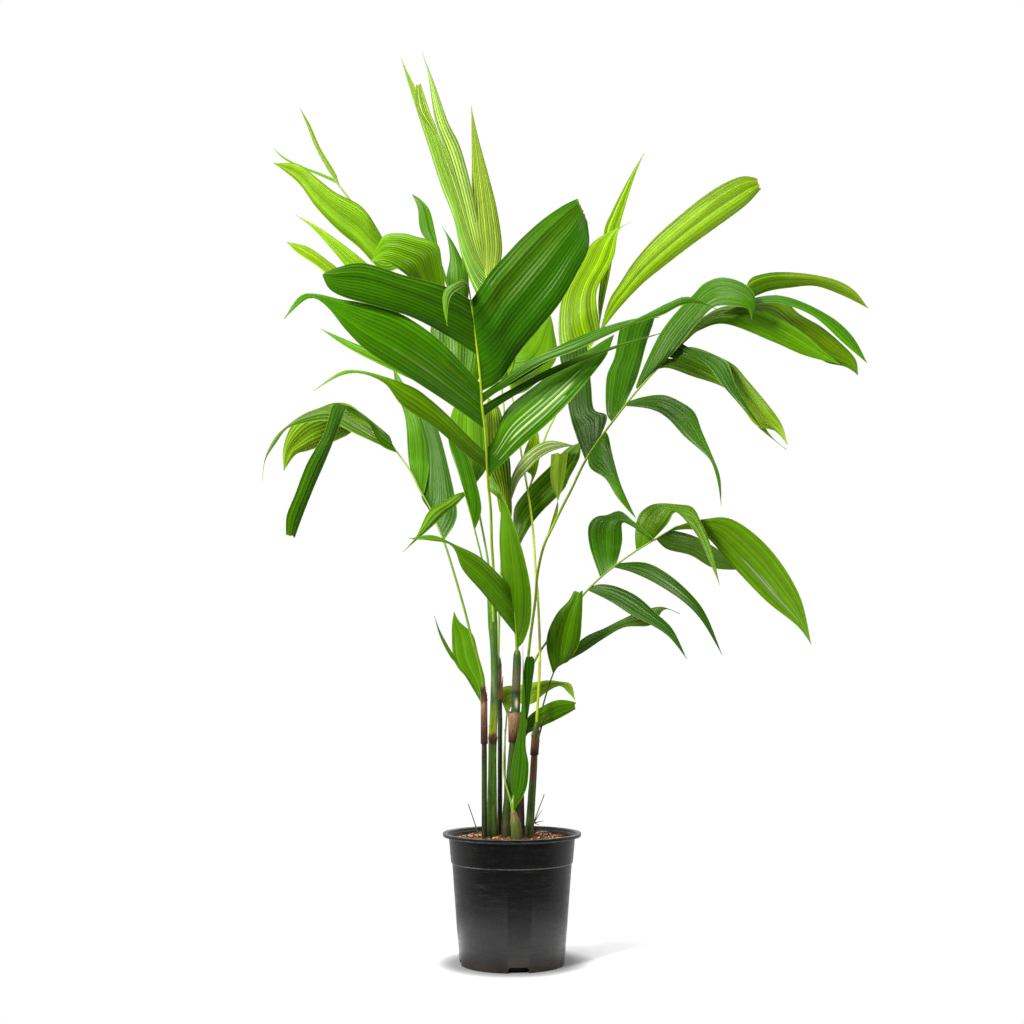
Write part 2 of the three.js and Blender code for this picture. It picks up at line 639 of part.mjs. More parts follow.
        at: [3, 2.9], ribs: 2, lean: -0.2, depth: [34, 38], tip: [[114, 443], [112, 431]],
        a: [[26, 414], [52, 435], [82, 447]],
        b: [[28, 389], [51, 400], [81, 414]],
      },
    ],
  },

  sucker_front: {
    holder: 'stump_front',
    colour: 0x6cb41e,
    stalk: [[3, 215, -38, 2.4], [2, 254, -38, 2.4], [3, 283, -38, 1.6]],
    leaves: [
      {
        at: [1.4, 0.9], ribs: 2, lean: 0.1, depth: [-31, -24], tip: [19, 541],
        a: [[-1, 290], [-2, 324], [5, 366], [14, 410], [18, 464]],
        b: [[9, 266], [25, 294], [29, 334], [24, 366], [24, 410], [22, 464]],
      },
    ],
  },

  // The tall frond that arches out to the right.
  frond_right: {
    holder: 'stem_fibrous',
    colour: 0x437f1e,
    stalk: [[12.5, 338, 10.5, 2.8], [13, 364, 10, 2.8], [21, 390, 11, 2.8], [25, 417, 14, 2.8],
      [30, 464, 13, 2.7], [29, 525, 10, 2.6], [41, 620, 4, 2.5], [45, 666, 0, 2.4],
      [56, 716, -4, 2.4], [74, 755, -8, 2.3], [91, 790, -12, 2.3], [106, 819, -15, 2.2],
      [127, 863, -18, 2.2], [148, 897, -21, 2.1], [174, 933, -24, 2], [201, 968, -26, 1.9],
      [226, 999, -28, 1.8], [257, 1033, -30, 1.7], [285, 1063, -32, 1.6],
      [321, 1100, -34, 1.5], [367, 1133, -36, 1.3], [421, 1159, -38, 1.1]],
    leaves: [
      {
        at: [2.6, 2.4], ribs: 1, lean: 0.2, depth: [8, 0], tip: [[25, 523], [35, 525]],
        a: [[21, 447], [21, 504]],
        b: [[29, 426], [35, 473], [40, 513]],
      },
      {
        at: [8, 8.2], ribs: 1, depth: [4, 14], tip: [[70, 884], [100, 886]],
        a: [[82, 783], [69, 835]],
        b: [[78, 788], [91, 827]],
      },
      {
        at: [12.2, 13.3], ribs: 2, lean: 0.2, depth: [-5, 10], tip: [[106, 1094], [130, 1098]],
        a: [[113, 919], [101, 966], [97, 1017], [86, 1062]],
        b: [[170, 951], [147, 964], [142, 1008], [137, 1068]],
      },
      {
        at: [14.2, 15], ribs: 2, lean: -0.1, depth: [-10, 0], tip: [[218, 1124], [260, 1133]],
        a: [[169, 959], [170, 1021], [185, 1061], [197, 1118]],
        b: [[206, 980], [226, 1024], [243, 1085]],
      },
      {
        at: [16, 17.2], ribs: 2, lean: 0.3, depth: [-42, -62], tip: [433, 1129],
        a: [[222, 1003], [234, 1035], [265, 1100], [298, 1144], [327, 1174], [347, 1195],
          [377, 1207], [410, 1201], [433, 1185], [441, 1162]],
        b: [[293, 1070], [332, 1118], [365, 1152], [403, 1153], [427, 1148]],
      },
      {
        at: [18.2, 17.4], ribs: 2, lean: 0.2, depth: [-28, -38], tip: [590, 1046],
        a: [[318, 1109], [348, 1135], [385, 1153], [441, 1149], [511, 1114], [562, 1070]],
        b: [[312, 1087], [339, 1109], [388, 1120], [472, 1087], [528, 1062]],
      },
      {
        at: [21, 20.6], ribs: 2, lean: -0.2, depth: [-30, -20], tip: [644, 1149],
        a: [[429, 1200], [461, 1214], [501, 1216], [549, 1211], [591, 1200], [621, 1181]],
        b: [[457, 1178], [505, 1187], [549, 1190], [595, 1174]],
      },
      {
        at: [20.9, 20.7], ribs: 1, lean: 0.2, depth: [-52, -62], tip: [639, 1048],
        a: [[445, 1170], [485, 1173], [530, 1159], [583, 1129], [617, 1094]],
        b: [[458, 1159], [492, 1157], [547, 1133], [599, 1084]],
      },
      {
        at: [20.5, 20.2], ribs: 2, depth: [-14, -14], tip: [622, 1026],
        a: [[443, 1164], [484, 1173], [518, 1140], [560, 1114], [597, 1081], [619, 1054]],
        b: [[434, 1131], [480, 1109], [524, 1081], [562, 1051], [600, 1041]],
      },
      {
        at: [18.4, 17.9], ribs: 2, lean: -0.3, depth: [-55, -75], tip: [492, 900],
        a: [[312, 1078], [339, 1074], [394, 1048], [421, 1019], [478, 945]],
        b: [[312, 1046], [366, 1018], [411, 967], [437, 934], [470, 924]],
      },
      {
        at: [17.8, 17.1], ribs: 1, lean: 0.2, depth: [-42, -64], tip: [491, 890],
        a: [[313, 1052], [367, 1024], [416, 976], [446, 940], [467, 911]],
        b: [[281, 1039], [319, 1026], [391, 997], [436, 936]],
      },
      {
        at: [18.6, 18.4], ribs: 1, lean: 0.1, depth: [-72, -88], tip: [447, 929],
        a: [[323, 1075], [383, 1054], [404, 1002]],
        b: [[303, 1075], [349, 1046], [386, 998]],
      },
      {
        at: [15.3, 15.05], ribs: 2, lean: 0.2, depth: [-60, -90], tip: [372, 789],
        a: [[235, 986], [271, 990], [300, 979], [327, 959], [340, 924], [356, 884], [371, 840]],
        b: [[248, 964], [278, 948], [308, 915], [335, 891], [355, 869], [366, 833]],
      },
      {
        at: [13.6, 12.4], ribs: 1, lean: 0.3, depth: [-50, -62], tip: [220, 767],
        a: [[171, 919], [182, 871], [196, 823]],
        b: [[139, 858], [166, 839], [186, 807], [206, 782]],
      },
    ],
  },

  frond_lower_right: {
    holder: 'stem_fibrous',
    colour: 0x3f8a20,
    stalk: [[14.5, 338, 19, 2.2], [14, 364, 19.5, 2.2], [21, 386, 26, 2.2], [28, 438, 30, 2.2],
      [33, 490, 31, 2.1], [39, 513, 31, 2.1], [58, 544, 28, 2], [93, 587, 20, 1.9],
      [127, 632, 12, 1.8], [156, 661, 6, 1.7], [182, 682, 0, 1.6], [220, 709, -5, 1.5],
      [255, 730, -8, 1.4], [293, 753, -10, 1.2]],
    leaves: [
      {
        at: [9, 10], ribs: 2, lean: 0.2, depth: [0, -30], tip: [255, 726],
        a: [[138, 714], [135, 751], [148, 769], [169, 773], [192, 780], [215, 762], [236, 746]],
        b: [[186, 689], [195, 725], [195, 757], [206, 756], [229, 742]],
      },
      {
        at: [11, 11.6], ribs: 2, lean: 0.2, depth: [-20, -50], tip: [367, 648],
        a: [[218, 737], [224, 771], [243, 789], [265, 794], [295, 792], [321, 787], [336, 760],
          [353, 716]],
        b: [[254, 733], [276, 757], [290, 778], [309, 762], [332, 730], [348, 693]],
      },
      {
        at: [13, 12.6], ribs: 3, lean: -0.2, depth: [-15, -45], tip: [526, 544],
        a: [[339, 765], [393, 764], [457, 712], [507, 631]],
        b: [[334, 742], [392, 679], [448, 620], [501, 577]],
      },
      {
        at: [12.7, 12], ribs: 1, lean: 0.2, depth: [4, 8], tip: [403, 675],
        a: [[325, 735], [372, 707]],
        b: [[275, 712], [317, 701], [356, 679]],
      },
      {
        at: [10.2, 9.9], ribs: 1, lean: 0.2, depth: [-45, -75], tip: [369, 525],
        a: [[237, 688], [279, 666], [321, 627], [345, 590]],
        b: [[214, 670], [254, 651], [301, 620], [335, 584]],
      },
      {
        at: [8.4, 8.2], ribs: 2, lean: 0.2, depth: [-20, -50], tip: [307, 518],
        a: [[157, 650], [187, 645], [222, 628], [254, 599], [283, 570]],
        b: [[174, 619], [211, 595], [243, 579], [276, 557]],
      },
    ],
  },

  frond_small_right: {
    holder: 'soil',
    colour: 0x4a8a2a,
    stalk: [[36, 151, 50, 1.6], [36, 215, 50, 1.6], [42, 326, 50, 1.6], [45, 386, 48, 1.5],
      [54, 436, 46, 1.4], [72, 492, 38, 1.3], [86, 513, 34, 1.1]],
    leaves: [
      {
        at: [5, 6], ribs: 2, lean: 0.2, depth: [6, -6], tip: [[109, 638], [125, 639]],
        a: [[61, 534], [63, 565], [79, 598], [100, 621]],
        b: [[99, 514], [118, 546], [123, 590]],
      },
      {
        at: [5.8, 5.6], ribs: 1, lean: 0.1, depth: [40, 50], tip: [296, 597],
        a: [[123, 553], [164, 573], [198, 590], [227, 602], [263, 610]],
        b: [[122, 528], [163, 555], [199, 574], [245, 578], [269, 605]],
      },
    ],
  },

  // The tall frond behind, lit from the back.
  frond_bright: {
    holder: 'stem_back_hidden',
    colour: 0x8fce2a,
    stalk: [[9, 369, 56, 2.4], [9, 421, 56, 2.4], [9, 516, 58, 2.3], [4, 622, 64, 2.3],
      [7, 746, 76, 2.2], [21, 792, 84, 2.1], [37, 839, 90, 2.1], [59, 911, 98, 2],
      [79, 955, 104, 1.9], [119, 1039, 112, 1.8], [159, 1107, 118, 1.6]],
    leaves: [
      {
        at: [10, 9.8], ribs: 2, lean: 0.1, depth: [130, 150], tip: [[448, 1394], [455, 1372]],
        a: [[175, 1162], [195, 1195], [220, 1234], [257, 1278], [299, 1317], [346, 1356],
          [387, 1383], [422, 1397]],
        b: [[193, 1148], [236, 1194], [277, 1228], [324, 1265], [373, 1301], [426, 1341]],
      },
      {
        at: [10, 9.9], ribs: 1, lean: 0.1, depth: [140, 160], tip: [242, 1440],
        a: [[156, 1164], [165, 1235], [167, 1293], [181, 1328], [200, 1367], [221, 1406]],
        b: [[165, 1155], [176, 1206], [186, 1260], [200, 1316], [214, 1364], [227, 1403]],
      },
      {
        at: [8.9, 10], ribs: 2, lean: 0.1, depth: [112, 118], tip: [217, 1310],
        a: [[86, 1081], [89, 1164], [116, 1220], [149, 1274]],
        b: [[157, 1126], [154, 1183], [184, 1243], [194, 1293]],
      },
      {
        at: [3.9, 3.6], ribs: 2, lean: 0.1, depth: [66, 56], tip: [123, 904],
        a: [[2, 764], [7, 792], [37, 830], [68, 861], [96, 891]],
        b: [[30, 749], [52, 778], [91, 817], [102, 839], [120, 875]],
      },
      {
        at: [6.3, 5.7], ribs: 2, depth: [80, 78], tip: [45, 935],
        a: [[21, 854], [23, 890]],
        b: [[45, 854], [50, 893]],
      },
    ],
  },
};

// ---------------------------------------------------------------- dry pieces

// Each is a sleeve round a stem, from its lower to its upper end. A split is a strip of it that
// stands away from the stem.
const sleeves = {
  sheath_left: {
    around: 'stem_left_slim',
    colour: 0x7a5138,
    stalk: [[-48.4, 371, -12, 5.9], [-48.7, 410, -12, 5.7], [-49, 447, -12, 5.5],
      [-50.3, 471, -12, 5.5]],
  },
  collar_centre: {
    around: 'stem_centre',
    colour: 0x8a6145,
    stalk: [[1.4, 374, 0, 7.6], [3.6, 399, 0, 10], [6.1, 428, 0, 13]],
  },
  sheath_right: {
    around: 'stem_right',
    colour: 0x7d5a3e,
    stalk: [[38.7, 352, 4, 7.2], [40.1, 369, 4.5, 7.2], [42.2, 398, 5.9, 7]],
    split: {
      roots: [[45, 378, 8], [47, 392, 8]], ribs: 1, depth: [12, 14], tip: [61, 421],
      a: [[50, 402]],
      b: [[54, 402]],
    },
  },
};

const twigs = {
  twig_left: { colour: 0x6b4a30, stalk: [[-53, 190, -44, 1], [-61, 224, -44, 1], [-76, 268, -50, 0.7]] },
  twig_right: { colour: 0x6b4a30, stalk: [[26, 190, -24, 1], [38, 236, -26, 1], [56, 284, -30, 0.7]] },
};

// ---------------------------------------------------------------- pot and soil

function lathe(profile) {
  const points = profile.map(([radius, height]) => new THREE.Vector2(radius, height));
  return new THREE.LatheGeometry(points, POT_SEGMENTS).rotateX(Math.PI / 2);
}

const stepFoot = POT_STEP_RADIUS - POT_STEP_INSET;
const skirtFoot = POT_HEIGHT - RIM_SKIRT;

// The pot's inner wall, as [radius, height], from the floor to the rim.
const innerWall = [
  [POT_BASE_RADIUS - POT_WALL, POT_FLOOR + FLOOR_ROUND],
  [stepFoot - POT_WALL, POT_STEP_HEIGHT - POT_WALL],
  [POT_STEP_RADIUS - POT_WALL, POT_STEP_HEIGHT + 1],
  [POT_BAND_RADIUS - POT_WALL, skirtFoot - POT_WALL],
];

function potSolid() {
  const [innerFoot, innerStepFoot, innerStepTop, innerTop] = innerWall;
  let solid = solidOf(lathe([
    [0, 0],
    [POT_BASE_RADIUS - BASE_ROUND, 0],
    [POT_BASE_RADIUS, BASE_ROUND],
    [stepFoot, POT_STEP_HEIGHT - 1],
    [POT_STEP_RADIUS, POT_STEP_HEIGHT],
    [POT_BAND_RADIUS, skirtFoot - POT_WALL],
    [POT_RIM_RADIUS - RIM_ROUND, skirtFoot],
    [POT_RIM_RADIUS, skirtFoot + RIM_ROUND],
    [POT_RIM_RADIUS, POT_HEIGHT - RIM_ROUND],
    [POT_RIM_RADIUS - RIM_ROUND, POT_HEIGHT],
    [POT_RIM_RADIUS - RIM_TOP_WIDTH, POT_HEIGHT],
    [POT_RIM_RADIUS - RIM_TOP_WIDTH - RIM_ROUND, POT_HEIGHT - RIM_ROUND],
    innerTop,
    innerStepTop,
    innerStepFoot,
    innerFoot,
    [POT_BASE_RADIUS - POT_WALL - FLOOR_ROUND, POT_FLOOR],
    [0, POT_FLOOR],
  ]));
  const notchReach = NOTCH_DEPTH + NOTCH_PAST;
  const channelLength = POT_BASE_RADIUS - NOTCH_DEPTH / 2 - CHANNEL_START;
  for (let step = 0; step < NOTCH_COUNT; step += 1) {
    const angle = NOTCH_TURN - Math.PI / 2 + (step / NOTCH_COUNT) * 2 * Math.PI;
    const notch = new THREE.BoxGeometry(notchReach, NOTCH_WIDTH, 2 * NOTCH_HEIGHT)
      .translate(POT_BASE_RADIUS - NOTCH_DEPTH + notchReach / 2, 0, 0)
      .rotateZ(angle);
    const channel = new THREE.BoxGeometry(channelLength, CHANNEL_WIDTH, 2 * CHANNEL_HEIGHT)
      .translate(CHANNEL_START + channelLength / 2, 0, 0)
      .rotateZ(angle);
    solid = solid.subtract(solidOf(notch)).subtract(solidOf(channel));
  }
  return solid;
}

// The soil fills the pot, with a rough, slightly mounded top.
function soilSolid(holes) {
  const [, , [upperRadius, upperFoot], [rimRadius, rimFoot]] = innerWall;
  const bandShare = (SOIL_TOP - upperFoot) / (rimFoot - upperFoot);
  const topRadius = THREE.MathUtils.lerp(upperRadius, rimRadius, bandShare) - 2 * CLEARANCE;
  const sideRings = [
    [innerWall[0][0] - FLOOR_ROUND - CLEARANCE, POT_FLOOR + CLEARANCE],
    ...innerWall.slice(0, 3).map(([radius, height]) => [radius - CLEARANCE, height + CLEARANCE]),
    [topRadius, SOIL_TOP],
  ];
  const topRings = SOIL_RING_SHARES.map((share) => (
    [topRadius * share, SOIL_TOP + SOIL_MOUND * (1 - share * share)]));
  const random = randomFrom(SOIL_SEED);
  const points = [new THREE.Vector3(0, 0, POT_FLOOR + CLEARANCE)];
  const ringOf = (radius, height, roughness) => {
    for (let spoke = 0; spoke < POT_SEGMENTS; spoke += 1) {
      const angle = (spoke / POT_SEGMENTS) * 2 * Math.PI;
      const bump = roughness * (2 * random() - 1);
      points.push(new THREE.Vector3(radius * Math.cos(angle), radius * Math.sin(angle), height + bump));
    }
  };
  sideRings.forEach(([radius, height]) => ringOf(radius, height, 0));
  topRings.forEach(([radius, height]) => ringOf(radius, height, SOIL_ROUGHNESS));
  points.push(new THREE.Vector3(0, 0, SOIL_TOP + SOIL_MOUND));
  const at = (ring, spoke) => 1 + ring * POT_SEGMENTS + (spoke % POT_SEGMENTS);
  const last = sideRings.length + topRings.length - 1;
  const triangles = [];
  for (let spoke = 0; spoke < POT_SEGMENTS; spoke += 1) {
    triangles.push([0, at(0, spoke + 1), at(0, spoke)]);
    for (let ring = 0; ring < last; ring += 1) {
      triangles.push([at(ring, spoke), at(ring, spoke + 1), at(ring + 1, spoke + 1)]);
      triangles.push([at(ring, spoke), at(ring + 1, spoke + 1), at(ring + 1, spoke)]);
    }
    triangles.push([at(last, spoke), at(last, spoke + 1), points.length - 1]);
  }
  return holes.reduce((solid, hole) => solid.subtract(hole), solidFrom(points, triangles));
}

// ---------------------------------------------------------------- the plant

const plant = new THREE.Group();
const LEAF_ROUGHNESS = 0.35;
const STEM_ROUGHNESS = 0.5;
const DRY_ROUGHNESS = 0.85;

const fronds = Object.values(foliage);
const planted = [
  ...Object.values(stems).map((stem) => stalkSolid(stem.stalk, STEM_SIDES, CLEARANCE)),
  ...fronds.filter((frond) => frond.holder === 'soil')
    .map((frond) => stalkSolid(frond.stalk, STALK_SIDES, CLEARANCE)),
  ...Object.values(twigs).map((twig) => stalkSolid(twig.stalk, TWIG_SIDES, CLEARANCE)),
];
plant.add(meshOf('pot', potSolid(), 0x3a3937, 0.45));
plant.add(meshOf('soil', soilSolid(planted), 0x7a5236, 0.95));

for (const [name, stem] of Object.entries(stems)) {
  const sockets = fronds.filter((frond) => frond.holder === name);
  const solid = sockets.reduce(
    (rest, frond) => rest.subtract(stalkSolid(frond.stalk, STALK_SIDES, CLEARANCE)),
    stalkSolid(stem.stalk, STEM_SIDES),
  );
  plant.add(meshOf(name, solid, stem.colour, STEM_ROUGHNESS));
}

for (const [name, sleeve] of Object.entries(sleeves)) {
  const stem = stems[sleeve.around];
  let solid = stalkSolid(sleeve.stalk, STEM_SIDES);
  if (sleeve.split) {
    const [rootA, rootB] = sleeve.split.roots.map(([x, z, depth]) => sight(x, z, depth));
    solid = solid.add(leafSolid(rootA, rootB, sleeve.split));
  }
  solid = solid.subtract(stalkSolid(stem.stalk, STEM_SIDES, CLEARANCE));
  plant.add(meshOf(name, solid, sleeve.colour, DRY_ROUGHNESS));
}

for (const [name, frond] of Object.entries(foliage)) {
  plant.add(meshOf(name, frondSolid(frond), frond.colour, LEAF_ROUGHNESS));
}

for (const [name, twig] of Object.entries(twigs)) {
  plant.add(meshOf(name, stalkSolid(twig.stalk, TWIG_SIDES), twig.colour, DRY_ROUGHNESS));
}

export default plant;
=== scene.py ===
# The finished look of a potted clump palm: pleated leaflets, ringed canes, bark mix and a
# moulded nursery pot. Lengths in the lists below are millimetres, as on the plant.
import json
import math
import bmesh
import bpy
import numpy as np
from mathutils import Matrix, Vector

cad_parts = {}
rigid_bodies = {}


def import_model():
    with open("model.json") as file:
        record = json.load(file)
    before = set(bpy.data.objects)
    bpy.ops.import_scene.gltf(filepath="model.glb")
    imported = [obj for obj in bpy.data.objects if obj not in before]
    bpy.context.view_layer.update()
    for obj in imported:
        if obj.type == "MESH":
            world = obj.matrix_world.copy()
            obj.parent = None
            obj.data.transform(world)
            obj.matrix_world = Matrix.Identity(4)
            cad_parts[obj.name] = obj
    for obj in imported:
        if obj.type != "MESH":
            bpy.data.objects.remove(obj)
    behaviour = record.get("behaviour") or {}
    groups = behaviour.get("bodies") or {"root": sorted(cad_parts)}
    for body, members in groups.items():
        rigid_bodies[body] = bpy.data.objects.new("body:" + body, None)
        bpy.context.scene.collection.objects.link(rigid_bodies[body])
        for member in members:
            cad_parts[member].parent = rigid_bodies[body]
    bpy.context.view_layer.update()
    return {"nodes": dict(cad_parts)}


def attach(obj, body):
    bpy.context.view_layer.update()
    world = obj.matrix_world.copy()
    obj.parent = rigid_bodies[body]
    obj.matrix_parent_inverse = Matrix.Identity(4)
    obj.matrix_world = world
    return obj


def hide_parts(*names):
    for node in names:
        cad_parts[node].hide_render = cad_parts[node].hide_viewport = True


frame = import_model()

print("frame loaded:", len(frame["nodes"]), "solids")
mm = 0.001
fullTurn = 2 * np.pi
gamma = 2.2  # between screen and scene-linear values


def paint(red, green, blue):  # a screen colour as scene-linear values
    return tuple((c / 255) ** gamma for c in (red, green, blue)) + (1.0,)


def listed(text):  # "1 2,3 4" as [(1, 2), (3, 4)]
    return [tuple(map(float, point.split())) for point in text.split(",")]


# A point is given as [x, z] where the eye in front of the plant sees it in the upright plane
# through the pot's middle, and depth is how far behind (+) or before (-) that plane it is.
view = {
    "eye": (0, -2510, 481),
    "crownSpread": 2.2,  # the crown is this much deeper than its lists say
    "crownFoot": 300,    # below this height depths are as listed
    "crownTop": 900,
}


def spread(z):
    share = np.clip((z - view["crownFoot"]) / (view["crownTop"] - view["crownFoot"]), 0, 1)
    return 1 + (view["crownSpread"] - 1) * share * share * (3 - 2 * share)


def sight(flat, depth):
    flat = np.asarray(flat, float)
    y = depth * spread(flat[..., 1])
    reach = (y - view["eye"][1]) / -view["eye"][1]
    height = view["eye"][2] + (flat[..., 1] - view["eye"][2]) * reach
    return np.stack([flat[..., 0] * reach, y, height], axis=-1)


def sightLine(points):  # points of (x, z, depth)
    return [sight((x, z), depth) for x, z, depth in points]


def seen(point):  # the same point as (x, z) in the upright plane, and its depth
    reach = (point[1] - view["eye"][1]) / -view["eye"][1]
    z = view["eye"][2] + (point[2] - view["eye"][2]) / reach
    return (point[0] / reach, z), point[1] / spread(z)


def splineAt(points, share, mirrored):
    points = np.asarray(points, float)
    spans = len(points) - 1
    place = np.clip(share, 0, 1) * spans
    span = np.minimum(place.astype(int), spans - 1)
    w = (place - span)[:, None]
    before = 2 * points[0] - points[1] if mirrored else points[0]
    after = 2 * points[-1] - points[-2] if mirrored else points[-1]
    padded = np.vstack([before, points, after])
    p0, p1, p2, p3 = (padded[span + step] for step in range(4))
    v1, v2 = (p2 - p0) / 2, (p3 - p1) / 2
    return (2 * p1 - 2 * p2 + v1 + v2) * w**3 + (3 * p2 - 3 * p1 - 2 * v1 - v2) * w**2 + v1 * w + p1


def evenlyAt(points, share):  # the same curve, with equal shares equally long
    even = np.linspace(0, 1, 201)
    steps = np.diff(splineAt(points, even, False), axis=0)
    run = np.append(0, np.cumsum(np.linalg.norm(steps, axis=1)))
    return splineAt(points, np.interp(np.clip(share, 0, 1) * run[-1], run, even), False)


def stalkPath(stalk, share):  # points and radii along a stalk of (x, z, depth, radius)
    stalk = np.asarray(stalk, float)
    path = splineAt(sight(stalk[:, :2], stalk[:, 2]), share, True)
    return path, np.interp(share * (len(stalk) - 1), np.arange(len(stalk)), stalk[:, 3])


def easedRadii(stalk, share):
    radii = np.asarray(stalk, float)[:, 3]
    place = share * (len(radii) - 1)
    span = np.minimum(place.astype(int), len(radii) - 2)
    w = place - span
    return radii[span] + (radii[span + 1] - radii[span]) * w * w * (3 - 2 * w)


def norm(vectors):
    return np.linalg.norm(vectors, axis=-1, keepdims=True)


# Node trees. A wire is an input's name or number and a value or an output for it.
class Graph:
    def __init__(self, tree):
        self.tree = tree

    def feed(self, socket, value):
        if isinstance(value, bpy.types.NodeSocket):
            self.tree.links.new(value, socket)
        else:
            socket.default_value = value

    def make(self, kind, wires=None, **settings):
        node = self.tree.nodes.new(kind)
        for key, value in settings.items():
            setattr(node, key, value)
        for key, value in (wires or {}).items():
            self.feed(node.inputs[key], value)
        return node.outputs

    def add(self, kind, wires=None, **settings):
        return self.make("ShaderNode" + kind, wires, **settings)

    def math(self, operation, a, b=0.0):
        return self.add("Math", {0: a, 1: b}, operation=operation)[0]

    def times(self, a, b):
        return self.math("MULTIPLY", a, b)

    def length(self, vector):
        return self.add("VectorMath", {0: vector}, operation="LENGTH")[1]

    def scaled(self, vector, share):
        return self.add("VectorMath", {0: vector, "Scale": share}, operation="SCALE")[0]

    def ranged(self, value, low, high, start=0.0, end=1.0, smooth=True):
        return self.add("MapRange", {0: value, 1: low, 2: high, 3: start, 4: end}, clamp=True,
                        interpolation_type="SMOOTHSTEP" if smooth else "LINEAR")[0]

    def noiseAt(self, vector, detail=2.0, roughness=0.5):
        return self.add("TexNoise", {"Vector": vector, "Scale": 1.0, "Detail": detail,
                                     "Roughness": roughness})["Fac"]


class Skin(Graph):  # a material with one Principled shader, its colour built up in layers
    def __init__(self, name, roughness=0.5, specular=0.5, tint=(1, 1, 1), colour=None):
        self.material = bpy.data.materials.new(name)
        self.material.use_nodes = True
        super().__init__(self.material.node_tree)
        self.shader = self.tree.nodes["Principled BSDF"]
        self.set("Roughness", roughness)
        self.set("Specular IOR Level", specular)
        self.set("Specular Tint", (*tint, 1))
        self.colour = colour

    def set(self, name, value):
        self.feed(self.shader.inputs[name], value)

    def mapped(self, vector, **how):
        return self.add("Mapping", {"Vector": vector, **how})[0]

    def placed(self, **how):  # object coordinates
        return self.mapped(self.add("TexCoord")["Object"], **how)

    def height(self):
        return self.add("SeparateXYZ", {0: self.placed()})[2]

    def attribute(self, name, output="Fac"):
        return self.add("Attribute", attribute_name=name)[output]

    def noise(self, across, upward, detail=2.0, roughness=0.5):  # object coordinates, stretched
        return self.noiseAt(self.placed(Scale=(across, across, upward)), detail, roughness)

    def mix(self, share, first, second, kind="MIX"):  # three numbers are a screen colour
        pair = [paint(*c) if isinstance(c, tuple) and len(c) == 3 else c for c in (first, second)]
        return self.add("Mix", {0: share, 6: pair[0], 7: pair[1]}, data_type="RGBA", blend_type=kind)[2]

    def tinted(self, colour, *factors):
        return self.mix(1.0, colour, (*factors, 1), "MULTIPLY")

    def cover(self, share, colour):
        self.colour = self.mix(share, self.colour, colour)

    def shade(self, share, *factors):
        self.cover(share, self.tinted(self.colour, *factors))

    def ramp(self, value, stops):  # stops: place and screen colour
        outputs = self.add("ValToRGB", {0: value})
        elements = outputs[0].node.color_ramp.elements
        while len(elements) < len(stops):
            elements.new(0.5)
        for element, (at, colour) in zip(elements, stops):
            element.position = at
            element.color = paint(*colour)
        self.colour = outputs[0]

    def blendWith(self, share, other):  # another shader beside the Principled one
        mixed = self.add("MixShader", {0: share, 1: self.shader.outputs[0], 2: other})[0]
        self.feed(self.tree.nodes["Material Output"].inputs["Surface"], mixed)

    def done(self, relief=None, distance=0.0, strength=0.0):
        self.set("Base Color", self.colour)
        if relief is not None:
            self.set("Normal", self.add("Bump", {
                "Height": relief, "Distance": distance, "Strength": strength})[0])
        return self.material


leafLook = {
    "ribWidth": 0.08,      # of a fold, on each side of the rib
    "ribLight": 0.75,      # how much of the rib's own colour shows
    "ribColour": (150, 180, 30),
    "edgeColour": (170, 190, 70),
    "dryTip": (150, 126, 66),
    "speckColour": (150, 150, 70),
    "veinsPerFold": 4,
    "veinDepth": 0.22,
    "streak": 0.12,        # light and dark streaks along the folds
    "glow": 0.25,          # share of light that passes through the blade
    "roughness": (0.24, 0.46),
    "specular": 0.24,
}


